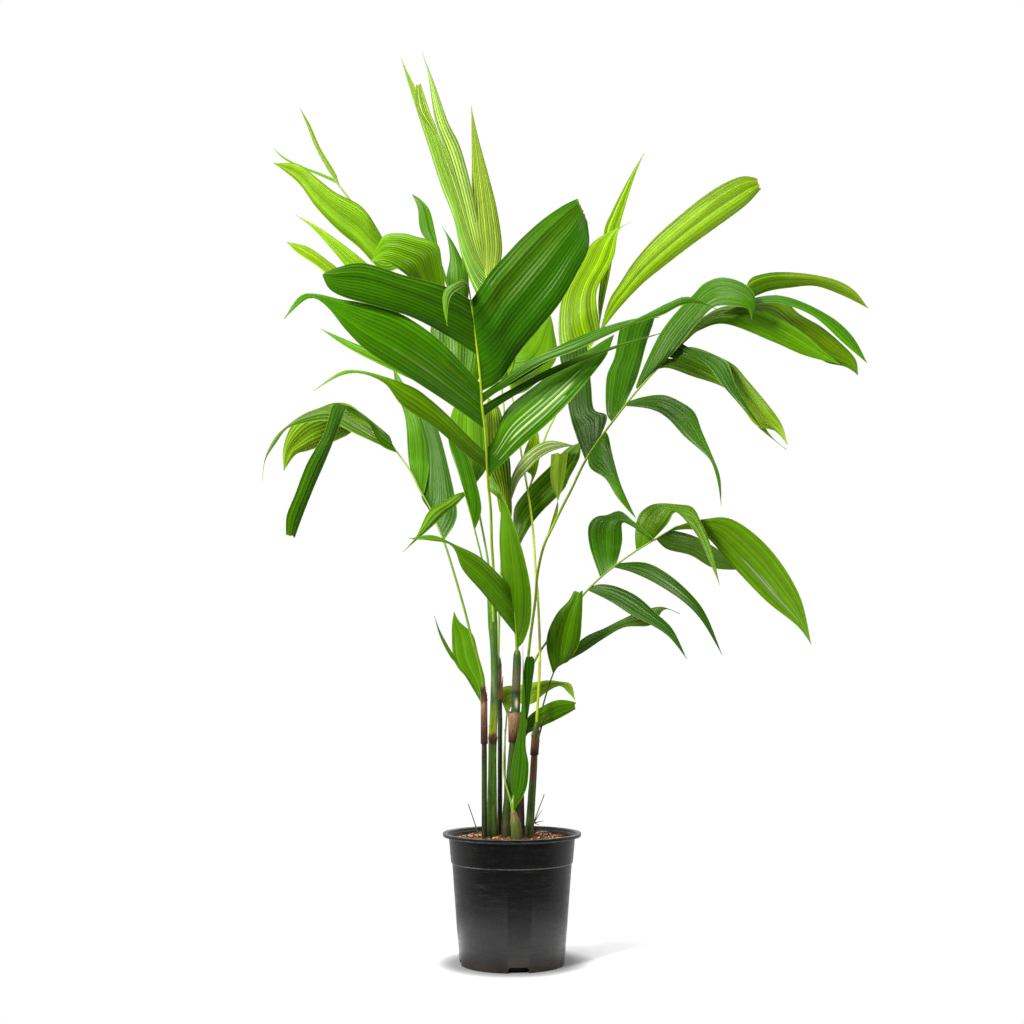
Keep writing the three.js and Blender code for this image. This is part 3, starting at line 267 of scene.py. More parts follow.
def leafSkin():
    look = leafLook
    skin = Skin("palmLeaf", specular=look["specular"], tint=(0.9, 1.0, 0.6))
    base = skin.attribute("leafColour", "Color")
    uv = skin.add("UVMap", uv_map="blade")[0]
    fold = skin.add("SeparateXYZ", {0: uv})[0]
    rib = skin.ranged(skin.math("PINGPONG", fold, 0.5), 0.0, look["ribWidth"], 1.0, 0.0)
    veins = skin.math("PINGPONG", skin.times(fold, look["veinsPerFold"]), 0.5)
    streak = skin.noiseAt(skin.mapped(uv, Scale=(1.3, 0.05, 1)), 2.0, 0.55)
    lines = skin.noiseAt(skin.mapped(uv, Scale=(7, 0.09, 1)), 1.0, 0.6)
    shade = 1.0
    for mask, low, high, start, end in (
            (streak, 0.25, 0.75, 1 - look["streak"], 1 + look["streak"]),
            (lines, 0.3, 0.7, 0.78, 1.2), (skin.noise(45, 45, 3.0), 0.3, 0.7, 0.92, 1.08),
            (veins, 0.0, 0.5, 1.0, 1 - look["veinDepth"])):
        shade = skin.times(shade, skin.ranged(mask, low, high, start, end, False))
    skin.colour = skin.scaled(base, shade)
    skin.cover(skin.times(rib, look["ribLight"]),
               skin.mix(0.35, skin.tinted(base, 1.9, 1.6, 1.2), look["ribColour"]))
    edge = skin.ranged(skin.attribute("margin"), 0.02, 0.14, 0.55, 0.0)
    skin.cover(edge, look["edgeColour"])
    # dry tips, and a few brown specks
    dryAt = skin.math("ADD", skin.attribute("along"), skin.times(lines, 0.03))
    skin.cover(skin.ranged(dryAt, 0.998, 1.014, 0.0, 0.8), look["dryTip"])
    spots = skin.add("TexVoronoi", {"Vector": skin.placed(), "Scale": 42.0})
    rare = skin.ranged(spots["Color"], 0.86, 0.88)
    speck = skin.times(skin.ranged(spots["Distance"], 0.03, 0.06, 0.7, 0.0), rare)
    skin.cover(speck, look["speckColour"])
    skin.set("Roughness", skin.ranged(lines, 0.3, 0.7, *look["roughness"]))
    ridge = skin.math("ADD", rib, skin.times(veins, 0.7))
    glow = skin.add("BsdfTranslucent", {"Color": skin.tinted(skin.colour, 1.3, 1.2, 0.3)})[0]
    skin.blendWith(look["glow"], glow)
    return skin.done(skin.times(ridge, skin.attribute("room")), 0.0004, 0.6)


caneLook = {
    "strength": 0.9,  # of the listed colours
    "speckColour": (120, 105, 70),
    "scarColour": (200, 192, 140),
    "scarReach": (0.0015, 0.0055),  # metres from its middle: full, and gone
}


def caneSkin(name, stops, roughness, streak=0.9, specks=0.6, grain=14, scar=None):
    # stops: (height in mm, colour) from the foot up; scar: the middle of a pale patch, in mm
    skin = Skin(name, roughness, 0.22)
    low, high = stops[0][0], stops[-1][0] + 1e-3
    ripple = skin.noise(160, 40, 3.0)
    height = skin.math("ADD", skin.times(skin.height(), 1000.0),
                       skin.ranged(ripple, 0.2, 0.8, -4.0, 4.0, False))
    skin.ramp(skin.ranged(height, low, high, smooth=False),
              [((z - low) / (high - low), [caneLook["strength"] * c for c in colour])
               for z, *colour in stops])
    streaks = skin.noise(420, grain, 3.0, 0.6)
    blotch = skin.noise(110, 34, 4.0, 0.7)
    skin.shade(skin.ranged(streaks, 0.35, 0.8, 0.0, streak), 0.45, 0.5, 0.5)
    skin.shade(skin.ranged(blotch, 0.5, 0.7, 0.0, streak), 1.7, 1.45, 1.3)
    skin.shade(skin.ranged(blotch, 0.46, 0.3, 0.0, streak), 0.5, 0.45, 0.4)
    dots = skin.noise(700, 450, 1.0)
    skin.cover(skin.ranged(dots, 0.66, 0.74, 0.0, specks), caneLook["speckColour"])
    if scar is not None:
        near = skin.placed(Location=tuple(-c * mm for c in scar))
        gap = skin.length(skin.mapped(near, Scale=(1, 1, 0.35)))
        gap = skin.math("ADD", gap, skin.times(ripple, 0.002))
        skin.cover(skin.ranged(gap, *caneLook["scarReach"], 0.8, 0.0), caneLook["scarColour"])
    return skin.done(streaks, 0.0003, 0.5)


def drySkin(name, light, dark, fibre=900):
    skin = Skin(name, 0.85, 0.2)
    threads = skin.noise(fibre, 30, 4.0, 0.65)
    patches = skin.noise(90, 45, 3.0)
    middle = [(a + b) / 2 for a, b in zip(light, dark)]
    skin.ramp(skin.math("ADD", skin.times(threads, 0.6), skin.times(patches, 0.4)),
              [(0.32, dark), (0.5, middle), (0.68, light)])
    return skin.done(threads, 0.0008, 0.8)


def addObject(name, data):
    thing = bpy.data.objects.new(name, data)
    bpy.context.scene.collection.objects.link(thing)
    return thing


def meshObject(name, points, faces, *skins):  # points in mm
    mesh = bpy.data.meshes.new(name)
    mesh.from_pydata((np.asarray(points) * mm).tolist(), [], faces)
    for skin in skins:
        mesh.materials.append(skin)
    mesh.update()
    return addObject(name, mesh)


def smoothed(thing, degrees):
    thing.data.shade_smooth()
    thing.data.set_sharp_from_angle(angle=math.radians(degrees))


def baked(thing):  # the object as a plain mesh, without its modifiers
    bpy.context.view_layer.update()
    graph = bpy.context.evaluated_depsgraph_get()
    mesh = bpy.data.meshes.new_from_object(thing.evaluated_get(graph))
    name, old = thing.name, thing.data
    bpy.data.objects.remove(thing)
    (bpy.data.meshes if isinstance(old, bpy.types.Mesh) else bpy.data.curves).remove(old)
    mesh.name = name
    return addObject(name, mesh)


def joined(first, *others):
    things = [first, *others]
    with bpy.context.temp_override(active_object=first, selected_editable_objects=things,
                                   selected_objects=things):
        bpy.ops.object.join()
    return first


class Form(Graph):  # a Geometry Nodes tree; inputs are given as name and kind
    def __init__(self, name, **inputs):
        super().__init__(bpy.data.node_groups.new(name, "GeometryNodeTree"))
        sockets = [("Geometry", "INPUT", "Geometry"), ("Geometry", "OUTPUT", "Geometry")]
        sockets[1:1] = [(label, "INPUT", kind) for label, kind in inputs.items()]
        for label, way, kind in sockets:
            self.tree.interface.new_socket(label, in_out=way, socket_type="NodeSocket" + kind)
        self.given = self.tree.nodes.new("NodeGroupInput").outputs

    def geo(self, kind, wires=None, **settings):
        return self.make("GeometryNode" + kind, wires, **settings)[0]

    def placeTimes(self, factors):  # where each point is, times the factors
        place = self.geo("InputPosition")
        return self.add("VectorMath", {0: place, 1: factors}, operation="MULTIPLY")[0]

    def done(self, shape):
        real = self.geo("RealizeInstances", {"Geometry": shape})
        real = self.geo("SetMaterial", {"Geometry": real, "Material": self.given["Material"]})
        self.feed(self.tree.nodes.new("NodeGroupOutput").inputs[0], real)
        return self.tree


def runForm(thing, tree, **values):
    modifier = thing.modifiers.new(tree.name, "NODES")
    modifier.node_group = tree
    for item in tree.interface.items_tree:
        if item.in_out == "INPUT" and item.name in values:
            modifier[item.identifier] = values[item.name]
    return baked(thing)


def tubeForm():  # a round cane, stalk or twig that follows a path of given radii
    form = Form("tubeAlongPath", Sides="Int", Step="Float", Uneven="Float", Material="Material")
    path = form.geo("ResampleCurve", {"Curve": form.given["Geometry"],
                                      "Length": form.given["Step"]}, mode="LENGTH")
    section = form.geo("CurvePrimitiveCircle", {"Resolution": form.given["Sides"], "Radius": 1.0})
    shape = form.geo("CurveToMesh", {"Curve": path, "Profile Curve": section, "Fill Caps": True,
                                     "Scale": form.geo("InputRadius")})
    lumps = form.noiseAt(form.placeTimes((220, 220, 60)))
    height = form.times(form.math("SUBTRACT", lumps, 0.5), form.given["Uneven"])
    shift = form.scaled(form.geo("InputNormal"), height)
    shape = form.geo("SetPosition", {"Geometry": shape, "Offset": shift})
    return form.done(form.geo("SetShadeSmooth", {"Geometry": shape}))


tube = tubeForm()


def tubes(name, lines, skin, sides, step=2.0, uneven=0.0):  # lines: points and radii of each
    curve = bpy.data.curves.new(name, "CURVE")
    curve.dimensions = "3D"
    for points, radii in lines:
        line = curve.splines.new("POLY")
        line.points.add(len(points) - 1)
        for spot, place, radius in zip(line.points, points, radii):
            spot.co = (*(np.asarray(place) * mm), 1)
            spot.radius = radius * mm
    return runForm(addObject(name, curve), tube, Sides=sides, Step=step * mm,
                   Uneven=uneven * mm, Material=skin)


def strands(name, paths, radius, skin, sides=5):  # threads that taper to a quarter
    tapers = [radius * (1 - 0.75 * np.arange(len(path)) / (len(path) - 1)) for path in paths]
    return tubes(name, zip(paths, tapers), skin, sides)


def replace(piece, node):
    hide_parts(node)
    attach(piece, "root")


# Stems: x, height, depth and radius of each point, from the buried foot to the top; then
# height and colour, from the foot up.
stems = {
    "stem_left_slim": "-47.4 151 -12 4.2,-47.9 219 -12 4.8,-48.2 338 -12 4.6,-48.5 374 -12 4.5,"
        "-49 447 -12 4.2,-50.3 473 -12 4.1",
    "stem_left_main": "-34.9 151 8 8,-35 215 8 11.3,-34.7 249 8 8.8,-34.1 350 8 7.2,-33.8 372 8 7.3,"
        "-33.5 381 8 8.2,-33.4 390 8 7.3,-31.5 436 8 6.9,-30.7 489 8 6.4,-31.6 534 8 6.6,"
        "-34.3 587 8 8.4,-36.2 639 7 8.2",
    "stem_back_left": "-21 151 40 4.4,-21.1 219 40 4.4,-20.9 343 40 4,-21.3 447 40 4.1,-23.5 522 40 4.3",
    "stem_back_thin": "-12.1 151 62 1.8,-12.1 227 62 2,-12.2 397 61 1.1",
    "stem_centre": "-10.4 151 2 7,-10.4 215 2 9,-9.5 249 2 7.5,-3.5 317 1 6.2,1.4 374 0 6,6.1 426 0 7.8,"
        "7 464 0 7.4,8.6 504 0 7.4,9.1 534 -2 6.4",
    "stump_front": "7.8 151 -38 8,7.8 213 -38 9.6,6.1 234 -38 9,2.6 254 -38 5.6",
    "stem_fibrous": "17.3 151 14 4.4,17.3 219 14 4.8,15.6 292 14 5.2,13.6 329 14.5 8,13.6 360 14.5 9.2",
    "stem_right": "29.3 151 2 6,29.4 215 2 7.4,32.1 258 2 6.4,36.5 326 3 5.2,40.1 369 4.5 5.6,"
        "43 409 6.4 5.2",
    "stem_back_hidden": "9.5 151 58 4,9.5 215 58 4.4,8.7 343 56 4.4,8.7 416 56 4.3",
}
stemColours = {
    "stem_left_slim": "205 36 34 22,232 46 58 26,330 52 74 26,345 48 56 24,372 50 52 28,380 88 62 40",
    "stem_left_main": "205 58 50 34,240 82 112 42,300 94 138 50,366 98 142 50,372 96 66 40,"
        "385 128 88 54,390 204 226 56,418 176 208 52,444 92 126 62,484 88 114 62,500 66 100 36,"
        "560 74 110 30,640 92 136 30",
    "stem_back_left": "205 40 36 24,240 48 54 26,440 50 66 26,452 104 80 50,496 112 86 54,502 60 90 30,"
        "525 78 112 34",
    "stem_back_thin": "205 74 60 42,300 94 80 56,397 110 94 66",
    "stem_centre": "205 58 46 32,235 56 66 34,290 58 86 32,374 60 84 36,424 58 84 50,452 52 78 44,"
        "461 38 46 30,468 96 92 66,498 84 84 56,512 58 88 36,535 66 98 36",
    "stump_front": "205 58 50 30,222 88 98 44,244 98 108 46,255 124 104 64",
    "stem_fibrous": "205 52 40 28,300 80 60 42,362 96 74 50",
    "stem_right": "205 60 50 34,236 72 90 44,306 82 108 50,313 110 82 54,352 104 78 54,362 74 92 44,"
        "411 84 110 46",
    "stem_back_hidden": "205 44 44 28,300 56 76 32,418 60 84 34",
}
stemLook = {
    "sides": 26,
    "step": 2.0,     # mm between rings of points
    "uneven": 0.9,   # mm
    "samples": 40,   # points for each part of a path
    "shoulder": 13,  # mm over which a stem draws in to the stalk that leaves it
    "neck": 0.42,    # the share of its radius that is left there
    "blunt": ("stump_front", "stem_back_thin"),
    "fibrous": "stem_fibrous",
    "roughness": (0.42, 0.85),
    "scarOn": "stem_centre",
    "scar": (8, 441, -7),
    # split brown strips that still stand on one stem: foot x, lean and reach of each
    "stripsOn": "stem_back_left",
    "strips": [(-22.5, -0.6, 52), (-20, 1.5, 62), (-18.5, 2.6, 40)],
    "stripFoot": 448,
    "stripDepth": 34,
    "lowStrip": [(-24.4, z, 28) for z in (232, 242, 252, 264)],
    "stripRadius": 2.2,
}
oldSheath = drySkin("oldSheath", (158, 118, 80), (76, 52, 34), 500)
for node, stalk in stems.items():
    look, stalk = stemLook, listed(stalk)
    share = np.linspace(0, 1, look["samples"] * (len(stalk) - 1) + 1)
    path = stalkPath(stalk, share)[0]
    scar = sightLine([look["scar"]])[0] if node == look["scarOn"] else None
    fibrous = node == look["fibrous"]
    skin = caneSkin(node + "Skin", listed(stemColours[node]), look["roughness"][fibrous], scar=scar)
    radii = easedRadii(stalk, share)
    if node not in look["blunt"]:
        toTop = np.clip((path[-1] - path)[:, 2] / look["shoulder"], 0, 1)
        radii = radii * (look["neck"] + (1 - look["neck"]) * np.sqrt(toTop * (2 - toTop)))
    cane = tubes(node + "_fine", [(path, radii)], skin, look["sides"], look["step"], look["uneven"])
    if node == look["stripsOn"]:
        foot, depth = look["stripFoot"], look["stripDepth"]
        strips = [[(x + lean * w, foot + reach * w, depth) for w in (0, 0.35, 0.7, 1)]
                  for x, lean, reach in look["strips"]]
        strips = [sightLine(strip) for strip in (*strips, look["lowStrip"])]
        joined(cane, strands("oldSheath", strips, look["stripRadius"], oldSheath, 6))
    replace(cane, node)
print("stems:", len(stems))

# Dry sheaths, listed like the stems.
sleeves = {
    "sheath_left": "-48.4 371 -12 5.9,-48.7 410 -12 5.7,-49 447 -12 5.5,-50.3 471 -12 5.5",
    "collar_centre": "1.4 374 0 7.6,3.6 399 0 10,6.1 428 0 13",
    "sheath_right": "38.7 352 4 7.2,40.1 369 4.5 7.2,42.2 398 5.9 7",
}
sleeveColours = {
    "sheath_left": "371 50 34 24,392 76 50 34,415 112 80 56,438 156 124 96,446 92 62 44,471 56 38 28",
    "collar_centre": "374 50 28 20,383 84 50 38,392 128 96 66,420 160 126 92,429 110 80 56",
    "sheath_right": "352 48 34 24,366 102 74 50,384 144 110 78,399 92 66 46",
}
sleeveLook = {
    "columns": 72,
    "rows": 26,
    "thickness": 0.7,
    "ribs": 17,        # lengthwise folds round a sleeve
    "ribHeight": 0.28,
    "swell": 0.09,
    "prongs": 4,       # pieces that stand up at the top
    "prongHalf": 0.55, # radians
    "frayed": 0.03,
    "ragged": {"sheath_left": 0.34, "collar_centre": 0.04, "sheath_right": 0.30},
    "threads": 26,
    "threadRadius": 0.32,
    "threadReach": {"sheath_left": 9, "collar_centre": 14, "sheath_right": 9},
    "threadsFrom": (0.55, 0.97),  # shares of its height
    "threadSteps": 6,
    "threadOut": (-0.05, 0.4),
    "threadBend": 0.12,
    "skin": (0.85, 1.0, 0.8, 110),  # roughness, streaks, specks and their grain
    "smooth": 40,      # degrees
    "seed": 21,
    # the strip of one sheath that stands away from the stem
    "stripOn": "sheath_right",
    "strip": [(44, 376, 7), (48, 388, 9), (52, 402, 12), (57, 414, 13.5), (60.5, 421, 14)],
    "stripHalf": 1.6,
}


def softNoise(chance, count, waves):  # a closed ring of values about 0, from a few waves
    angle = np.linspace(0, fullTurn, count, endpoint=False)
    value = np.zeros(count)
    for wave in waves:
        value += chance.uniform(0.4, 1.0) * np.cos(wave * angle + chance.uniform(0, fullTurn))
    return value / len(waves)


def sleevePart(stalk, ragged, chance):
    look = sleeveLook
    columns, rows = look["columns"], look["rows"]
    angle = np.linspace(0, fullTurn, columns, endpoint=False)
    ring = np.stack([np.cos(angle), np.sin(angle), 0 * angle], axis=1)
    prongs = np.zeros(columns)
    for middle in chance.uniform(0, fullTurn, look["prongs"]):
        off = np.abs(np.angle(np.exp(1j * (angle - middle))))
        prong = np.clip(1 - off / look["prongHalf"], 0, 1)
        prongs = np.maximum(prongs, chance.uniform(0.6, 1) * prong)
    top = 1 - ragged * (1 - prongs / prongs.max()) - look["frayed"] * chance.random(columns)
    swell = softNoise(chance, columns, (2, 3, 5)) * look["swell"]
    points = []
    for side in (0, 1):
        for row in range(rows + 1):
            share = top * row / rows
            path, radius = stalkPath(stalk, share)
            radius = radius * (1 + swell * share) - side * look["thickness"]
            radius = radius + look["ribHeight"] * np.cos(look["ribs"] * angle + 3 * share)
            points.append(path + ring * radius[:, None])
    faces = []
    inner = (rows + 1) * columns
    for c in range(columns):
        d = (c + 1) % columns
        for r in range(0, rows * columns, columns):
            s = r + columns
            faces.append((r + c, r + d, s + d, s + c))
            faces.append((inner + r + d, inner + r + c, inner + s + c, inner + s + d))
        last = rows * columns
        faces.append((last + c, last + d, inner + last + d, inner + last + c))
        faces.append((d, c, inner + c, inner + d))
    return np.concatenate(points), faces


def looseThreads(stalk, reach, chance):  # threads that stand up off a sleeve
    look, paths, steps = sleeveLook, [], sleeveLook["threadSteps"]
    for _ in range(look["threads"]):
        angle = chance.uniform(0, fullTurn)
        here, radius = stalkPath(stalk, np.array([chance.uniform(*look["threadsFrom"])]))
        way = np.array([np.cos(angle), np.sin(angle), 0])
        path = [here[0] + way * (radius[0] + 0.1)]
        rise = np.array([0, 0, 1.0]) + way * chance.uniform(*look["threadOut"])
        bend = chance.normal(0, look["threadBend"], 3)
        length = chance.uniform(0.4, 1.0) * reach
        for _ in range(steps):
            path.append(path[-1] + rise / np.linalg.norm(rise) * length / steps)
            rise = rise + bend * 0.5
        paths.append(path)
    return paths


chance = np.random.default_rng(sleeveLook["seed"])
for node, stalk in sleeves.items():
    look, stalk = sleeveLook, listed(stalk)
    shape = sleevePart(stalk, look["ragged"][node], chance)
    skin = caneSkin(node + "Skin", listed(sleeveColours[node]), *look["skin"])
    sleeve = meshObject(node + "_fine", *shape, skin)
    smoothed(sleeve, look["smooth"])
    threads = looseThreads(stalk, look["threadReach"][node], chance)
    parts = [strands(node + "_threads", threads, look["threadRadius"], skin)]
    if node == look["stripOn"]:
        strip, half = np.array(sightLine(look["strip"])), look["stripHalf"]
        beside = [strip + (0, 0, h) for h in (-half, 0.0, half)]
        parts.append(strands("strip", beside, half, skin, 8))
    joined(sleeve, *parts)
    replace(sleeve, node)
print("sheaths:", len(sleeves))

# Dry twigs, one of them with short spines off its side: reach and rise of each.
twigs = {
    "twig_left": "-53 190 -44 1,-61 224 -44 1,-76 268 -50 0.7",
    "twig_right": "26 190 -24 1,38 236 -26 1,56 284 -30 0.7",
}
twigLook = {
    "samples": 41, "sides": 8, "step": 2.0, "uneven": 0.4,
    "spinesOn": "twig_right", "spineFoot": (38, 236, -26), "spineRadius": 1.2,
    "spines": [(14, 22), (17, 3), (9, -4)],
}
twigSkin = drySkin("twigBark", (92, 88, 56), (44, 40, 26))
for node, stalk in twigs.items():
    look = twigLook
    path = stalkPath(listed(stalk), np.linspace(0, 1, look["samples"]))
    twig = tubes(node + "_fine", [path], twigSkin, look["sides"], look["step"], look["uneven"])
    if node == look["spinesOn"]:
        x, z, depth = look["spineFoot"]
        paths = [sightLine([(x + reach * w, z + rise * w, depth) for w in (0, 0.5, 1)])
                 for reach, rise in look["spines"]]
        joined(twig, strands("spines", paths, look["spineRadius"], twigSkin))
    replace(twig, node)
print("twigs:", len(twigs))

# Fronds: each is a stalk with pleated leaflets.
# These tones were set leaflet by leaflet, so they carry some painted light and shade: shade is a painted
# shade, sunlit a painted light, and the last one a painted highlight for gloss stripes.
tones = {  # a leaflet's colour, or its root's and its tip's
    "shade": (35, 75, 2), "deep": (42, 90, 2), "leafy": (54, 104, 4), "green": (68, 119, 8),
    "spring": (84, 135, 10), "fresh": (100, 150, 14), "light": (136, 174, 38),
    "straw": (110, 140, 38), "lime": (90, 138, 3), "sunlit": (114, 152, 3),
    "grey": (78, 116, 34), "pale": (118, 138, 84), "vivid": (82, 156, 8),
    "meadow": (56, 120, 4), "cream": (150, 186, 72), "paintedGloss": (160, 186, 130),
}
blades = {
    "foldWidth": 7.5,  # mm across one fine fold
    "folds": (3, 18),  # fewest and most
    "rowStep": 6,      # mm along a leaflet
    "rows": (12, 48),
    "thickness": 0.5,
    "bow": 0.06,
    "pleat": 0.13,
    "ridge": 0.12,     # height of a fine fold, as a share of its width
    "rootRidge": 0.35, # what is left of it at the root
    "rootFade": 0.2,
    "tipHalf": 0.5,
    "narrow": 1.2,     # mm; a narrower place keeps the direction of the one before
    "sideStep": 0.02,
    "toneSpread": 0.06,
    "leafTone": 0.04,  # difference in tone from leaflet to leaflet
    "foldTone": 0.05,  # from fold to fold
    "paintedFoldShade": 0.08,  # and painted shade between the two sides of a fold, one lighter, one darker
    "toothLength": 4,  # mm, at the bitten-off end of a blunt leaflet
    "teethFrom": 0.88,
    "samples": 40,     # to measure a leaflet by
    "toneParts": (0.7, 0.7, 1.4),  # how far red, green and blue go with toneSpread
    "litEdge": 0.2,    # softness of a patch, as a share of its half width
    "seed": 100,
}
ownBlades = {  # what is different on some fronds
    "frond_spear": {"foldWidth": 6.0, "foldTone": 0.16, "paintedFoldShade": 0.5, "ridge": 0.3},
    "frond_upper_left": {"foldWidth": 6.0, "foldTone": 0.08, "paintedFoldShade": 0.12},
    "frond_bright": {"foldTone": 0.09, "paintedFoldShade": 0.2},
}
stalkLook = {
    "samples": 12,  # for each part of a path
    "sides": 12,
    "step": 3.0,
    "skin": (0.36, 0.25, 0.1),  # roughness, streaks and specks
    "colours": ((104, 142, 34), (134, 170, 44)),  # lower and upper
}
stalkColours = {  # where they are others
    "frond_front": ((146, 188, 28), (200, 222, 46)), "frond_spear": ((120, 156, 32), (160, 190, 50)),
    "frond_right": ((146, 182, 28), (160, 190, 48)), "frond_bright": ((150, 186, 24), (160, 196, 40)),
    "frond_back": ((190, 206, 34), (138, 178, 46)), "frond_small_right": ((66, 98, 30), (96, 132, 36)),
}
fronds = {}


def leaf(tone, at, ribs, lean, depth, tip, a, b, lit=()):
    # at: its two roots, counted in points of the stalk; a and b: its edges from root to tip;
    # lit: patches of another tone, most of them painted light (painted gloss stripes and lighter lit
    # parts), as (tone, middle across, half width, start, end)
    return dict(tone=tone, at=at, ribs=ribs, lean=lean, depth=depth, tip=listed(tip),
                a=listed(a), b=listed(b), lit=lit)


def branch(name, stalk, *leaves):  # stalk: x, height, depth and radius of each point
    fronds[name] = {"stalk": listed(stalk), "leaves": leaves}


branch("frond_front", "-33 583 4 2.6,-35 631 3 2.6,-33 671 -3 2.6,-36 723 -20 2.6,-38 783 -42 2.5,"
    "-43 835 -62 2.5,-45 884 -80 2.4,-48 926 -95 2.3,-53 966 -108 2.2,-56 1010 -120 2.1,-61 1061 -132 2,"
    "-69 1122 -145 1.8,-74 1164 -155 1.6",
    leaf("leafy", (10, 12), 2, 0.15, (-165, -175), "-344 1211", "-123 1101,-179 1131,-233 1149,"
         "-300 1168,-331 1185", "-121 1189,-198 1211,-272 1233,-330 1220"),
    # the pale and light stripes on this leaflet are painted gloss
    leaf("vivid", (7, 9), 2, 0.15, (-150, -165), "-412 1129", "-81 951,-129 984,-182 1019,-258 1068,"
         "-299 1108,-328 1145,-353 1166,-375 1164", "-130 1089,-204 1140,-271 1159,-311 1166,-355 1176,"
         "-385 1171", [("pale", 0.2, 0.012, 0.02, 0.42), ("pale", 0.34, 0.016, 0.04, 0.5),
         ("pale", 0.52, 0.012, 0.03, 0.36), ("light", 0.72, 0.014, 0.02, 0.3)]),
    leaf("fresh", (5.3, 6), 2, 0.1, (-115, -120), "-357 997", "-86 884,-136 928,-196 969,-228 1010,"
         "-272 1029,-310 1024", "-82 919,-115 953,-147 982,-180 1005,-241 1027,-281 1035,-312 1030"),
    leaf("spring", (7.9, 8.2), 1, 0, (-100, -95), "-345 1111", "-129 995,-212 1033,-294 1075",
         "-129 1006,-211 1054,-289 1087"),
    leaf("green>fresh", (11.6, 12), 1, 0, (-175, -190), "-117 1116", "-81 1188,-100 1183,-112 1168,"
         "-116 1146", "-83 1201,-105 1196,-123 1181,-125 1155"),
    leaf("meadow", (12, 8.7), 3, -0.1, (-160, -165), "120 1355,138 1312", "-62 1181,-36 1220,-11 1248,"
         "17 1279,55 1314,93 1341", "-20 1017,14 1068,83 1153,118 1214,140 1263",
         [("green", 0.25, 0.25, 0.1, 1.1)]),
    leaf("leafy", (8.6, 8.2), 1, 0.1, (-150, -150), "383 1140", "-13 1021,32 1054,94 1079,162 1107,"
         "209 1123,247 1141,284 1160,322 1170", "-9 1008,56 1048,117 1072,170 1098,231 1125,272 1137,"
         "307 1155,344 1157"),
    leaf("deep", (8.4, 8.3), 1, 0.1, (-135, -130), "267 1133", "10 1038,86 1081,159 1112,223 1130",
         "18 1021,90 1066,162 1100,226 1122"),
    leaf("leafy", (8.1, 7.6), 1, 0, (-125, -125), "289 1109", "-9 996,79 1043,182 1079", "-10 979,"
         "79 1030,179 1072"),
    # the gloss stripes on this leaflet are a painted highlight
    leaf("leafy", (6.2, 5.1), 2, 0.1, (-110, -115), "184 1100", "-32 911,-11 962,40 1006,97 1048,"
         "141 1074,164 1089", "13 893,63 937,104 979,140 1022,167 1057,178 1081",
         [("green", 0.3, 0.2, 0, 0.8), ("paintedGloss", 0.44, 0.012, 0.02, 0.5),
         ("paintedGloss", 0.56, 0.016, 0.03, 0.75), ("paintedGloss", 0.68, 0.02, 0.05, 0.8),
         ("paintedGloss", 0.8, 0.014, 0.04, 0.62)]))
branch("frond_young", "10 464 0 2.4,9 508 -1 2.4,9 548 -10 2.3,5 604 -24 2,4 639 -30 1.6",
    leaf("spring", (4, 1.75), 2, 0.2, (-45, -40), "-37 843", "-16 655,-23 723,-20 791,-25 809,-45 820",
         "21 550,32 587,32 641,20 701,7 742,-7 783,-23 819"),
    leaf("spring", (2.2, 3.5), 2, 0.1, (-50, -55), "-183 730", "-21 595,-51 633,-87 675,-106 717,"
         "-145 727", "-7 648,-53 695,-101 720,-142 737"))
branch("frond_small_left", "-41 590 7 1.6,-43 631 6 1.6,-48 671 1 1.6,-57 710 -5 1.6,-66 746 -9 1.5,"
    "-76 783 -12 1.4,-85 814 -14 1.2",
    leaf("leafy", (6, 4), 1, 0.2, (-20, -20), "-116 935", "-91 833,-103 873,-115 911", "-56 783,-68 843,"
         "-86 890"),
    leaf("spring", (6, 5), 2, 0.1, (0, 20), "-83 1000", "-96 849,-114 907,-108 959", "-65 827,-45 861,"
         "-45 926,-56 971"),
    leaf("fresh", (5.8, 6), 1, 0.2, (-35, -55), "-193 707", "-99 790,-117 776,-138 755", "-100 810,"
         "-121 796,-148 779,-169 736"))
branch("frond_upper_left", "-36 587 11.5 2,-38 631 11.5 2,-42 685 20 2,-48 723 30 2,-60 783 42 2,"
    "-73 839 54 1.9,-84 890 64 1.9,-101 999 84 1.8,-121 1109 100 1.7,-158 1196 112 1.7,-196 1233 118 2,"
    "-238 1280 122 2.2,-288 1342 128 2.2,-325 1391 130 1.6",
    leaf("light", (12.5, 13), 1, 0, (132, 128), "-390 1526", "-336 1406,-361 1452,-376 1491",
         "-322 1401,-351 1450,-371 1495"),
    leaf("fresh", (12.8, 13), 1, 0, (126, 120), "-438 1450", "-344 1394,-387 1413,-418 1429",
         "-346 1401,-390 1418,-419 1434"),
    leaf("fresh>light", (9.9, 11), 2, 0.2, (112, 100), "-436 1421", "-234 1218,-279 1262,-317 1294,"
         "-358 1338,-391 1384", "-242 1293,-275 1339,-323 1366,-358 1394,-391 1419"),
    leaf("fresh>light", (8.6, 9.2), 1, 0, (95, 85), "-394 1323", "-217 1161,-290 1216,-327 1258,"
         "-362 1297", "-212 1188,-252 1224,-306 1268,-356 1303"),
    leaf("light", (8.2, 8.6), 1, 0, (85, 70), "-409 1272", "-230 1148,-302 1183,-351 1225,-390 1252",
         "-224 1166,-290 1203,-330 1235,-372 1264"),
    leaf("fresh", (8.7, 7.9), 3, -0.1, (60, 45), "-256 1235", "-170 1192,-203 1220,-230 1235",
         "-121 1185,-127 1235,-136 1270,-171 1282,-202 1289,-235 1282"),
    leaf("green", (7.3, 6.8), 3, 0, (88, 84), "-103 1164", "-124 1035,-146 1081,-141 1131", "-65 1008,"
         "-49 1063,-61 1131"))
